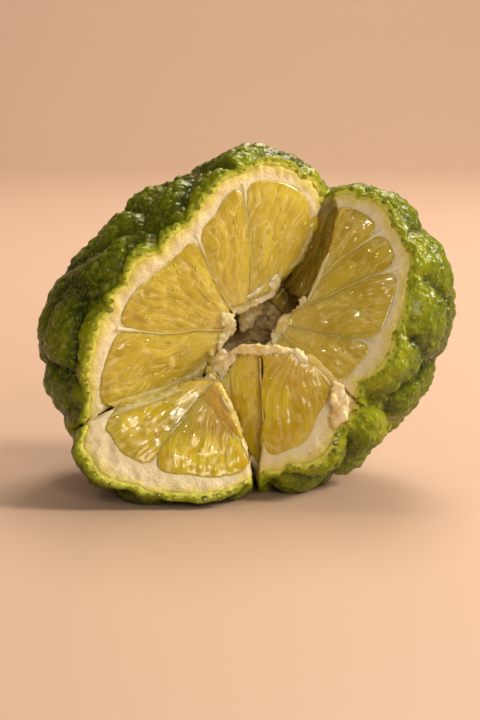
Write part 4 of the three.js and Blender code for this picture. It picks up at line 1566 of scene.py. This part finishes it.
def make_stage(sizes, colours):
    """Plain pale floor and backdrop, soft light and the camera."""
    scene = bpy.context.scene
    scene.view_settings.view_transform = "Standard"
    depth, breadth, bend, height = 0.9, 3.0, 0.25, 1.6
    profile = [(-0.9, 0.0)]
    profile += [(depth - bend + bend * math.sin(a), bend - bend * math.cos(a))
                for a in np.linspace(0, math.pi / 2, 12)]
    profile.append((depth, height))
    points = [(x, y, z) for y, z in profile for x in (-breadth / 2, breadth / 2)]
    faces = [(2 * i, 2 * i + 1, 2 * i + 3, 2 * i + 2) for i in range(len(profile) - 1)]
    mesh = bpy.data.meshes.new("backdrop")
    mesh.from_pydata(points, [], faces)
    mesh.polygons.foreach_set("use_smooth", np.ones(len(faces), bool))
    backdrop = bpy.data.objects.new("backdrop", mesh)
    scene.collection.objects.link(backdrop)
    sheet = Sheet("pale_paper")
    mesh.materials.append(sheet.finish(Base_Color=(0.6, 0.43, 0.335), Roughness=0.45,
                                       Specular_IOR_Level=0.3))

    world = bpy.data.worlds.new("soft_room")
    world.use_nodes = True
    world.node_tree.nodes["Background"].inputs[0].default_value = (1.0, 0.86, 0.7, 1)
    world.node_tree.nodes["Background"].inputs[1].default_value = 0.1
    scene.world = world
    centre = Vector(CENTRE) * MM
    for name, at, aim, width, power in LAMPS:
        light = bpy.data.lights.new(name, "AREA")
        light.size, light.energy, light.color = width, power, LIGHT_COLOUR
        lamp = bpy.data.objects.new(name, light)
        lamp.location = centre + Vector(at)
        lamp.rotation_euler = (Vector(aim) - Vector(at)).to_track_quat("-Z", "Y").to_euler()
        scene.collection.objects.link(lamp)

    camera = bpy.data.cameras.new("camera")
    camera.sensor_fit, camera.sensor_height, camera.lens = "VERTICAL", 36, 100
    eye = bpy.data.objects.new("camera", camera)
    elevation, distance = math.radians(10), 336 * MM
    ahead = Vector((0, math.cos(elevation), -math.sin(elevation)))
    above = Vector((0, math.sin(elevation), math.cos(elevation)))
    aim = centre - Vector((1, 0, 0)) * 1.68 * MM - above * 6.39 * MM
    eye.location = aim - ahead * distance
    eye.rotation_euler = (math.pi / 2 - elevation, 0, 0)
    scene.collection.objects.link(eye)
    scene.camera = eye
    return backdrop


# ---------------------------------------------------------------- operators and panel
def operator(name, label, text, work):
    """An Operator class that makes one group of pieces."""

    def execute(self, context):
        scene = context.scene
        work(scene.lime_sizes, scene.lime_colours)
        return {"FINISHED"}

    return type(f"LIME_OT_{name}", (bpy.types.Operator,), {
        "bl_idname": f"lime.{name}", "bl_label": label, "__doc__": text, "execute": execute,
        "bl_options": {"REGISTER", "UNDO"},
    })


OPERATORS = [
    operator("rind", "Rind", "Builds the bumpy green skin", make_rind),
    operator("pith", "Pith", "Builds the white layer under the skin", make_pith),
    operator("stem_scar", "Stem scar", "Builds the dry scar at the stem end", make_stem_scar),
    operator("core", "Core", "Builds the ragged white core", make_core),
    operator("segments", "Segments", "Builds the twelve pulp segments", make_segments),
    operator("membranes", "Membranes", "Builds the walls between segments", make_membranes),
    operator("tatters", "Torn pith", "Builds the fuzzy torn pith along the tears", make_tatters),
    operator("films", "Torn film", "Builds the torn film along the tears", make_films),
    operator("beads", "Juice beads", "Scatters beads of juice over the cut", make_beads),
    operator("glands", "Oil glands", "Sets oil glands along the cut skin", make_glands),
    operator("stage", "Stage", "Sets the floor, the lights and the camera", make_stage),
]


class LIME_PT_panel(bpy.types.Panel):
    """Lists the lime's sizes, colours and operators."""

    bl_label = "Torn makrut lime"
    bl_idname = "LIME_PT_panel"
    bl_space_type = "VIEW_3D"
    bl_region_type = "UI"
    bl_category = "Lime"

    def draw(self, context):
        for group in (context.scene.lime_sizes, context.scene.lime_colours):
            box = self.layout.box()
            for key in group.__annotations__:
                box.prop(group, key)
        for made in OPERATORS:
            self.layout.operator(made.bl_idname)


CLASSES = [LimeSizes, LimeColours, *OPERATORS, LIME_PT_panel]


def register():
    for made in CLASSES:
        bpy.utils.register_class(made)
    bpy.types.Scene.lime_sizes = bpy.props.PointerProperty(type=LimeSizes)
    bpy.types.Scene.lime_colours = bpy.props.PointerProperty(type=LimeColours)


def unregister():
    del bpy.types.Scene.lime_sizes
    del bpy.types.Scene.lime_colours
    for made in reversed(CLASSES):
        bpy.utils.unregister_class(made)


def main():
    register()
    for made in OPERATORS:
        getattr(bpy.ops.lime, made.bl_idname.split(".")[1])()


if __name__ == "__main__":
    main()
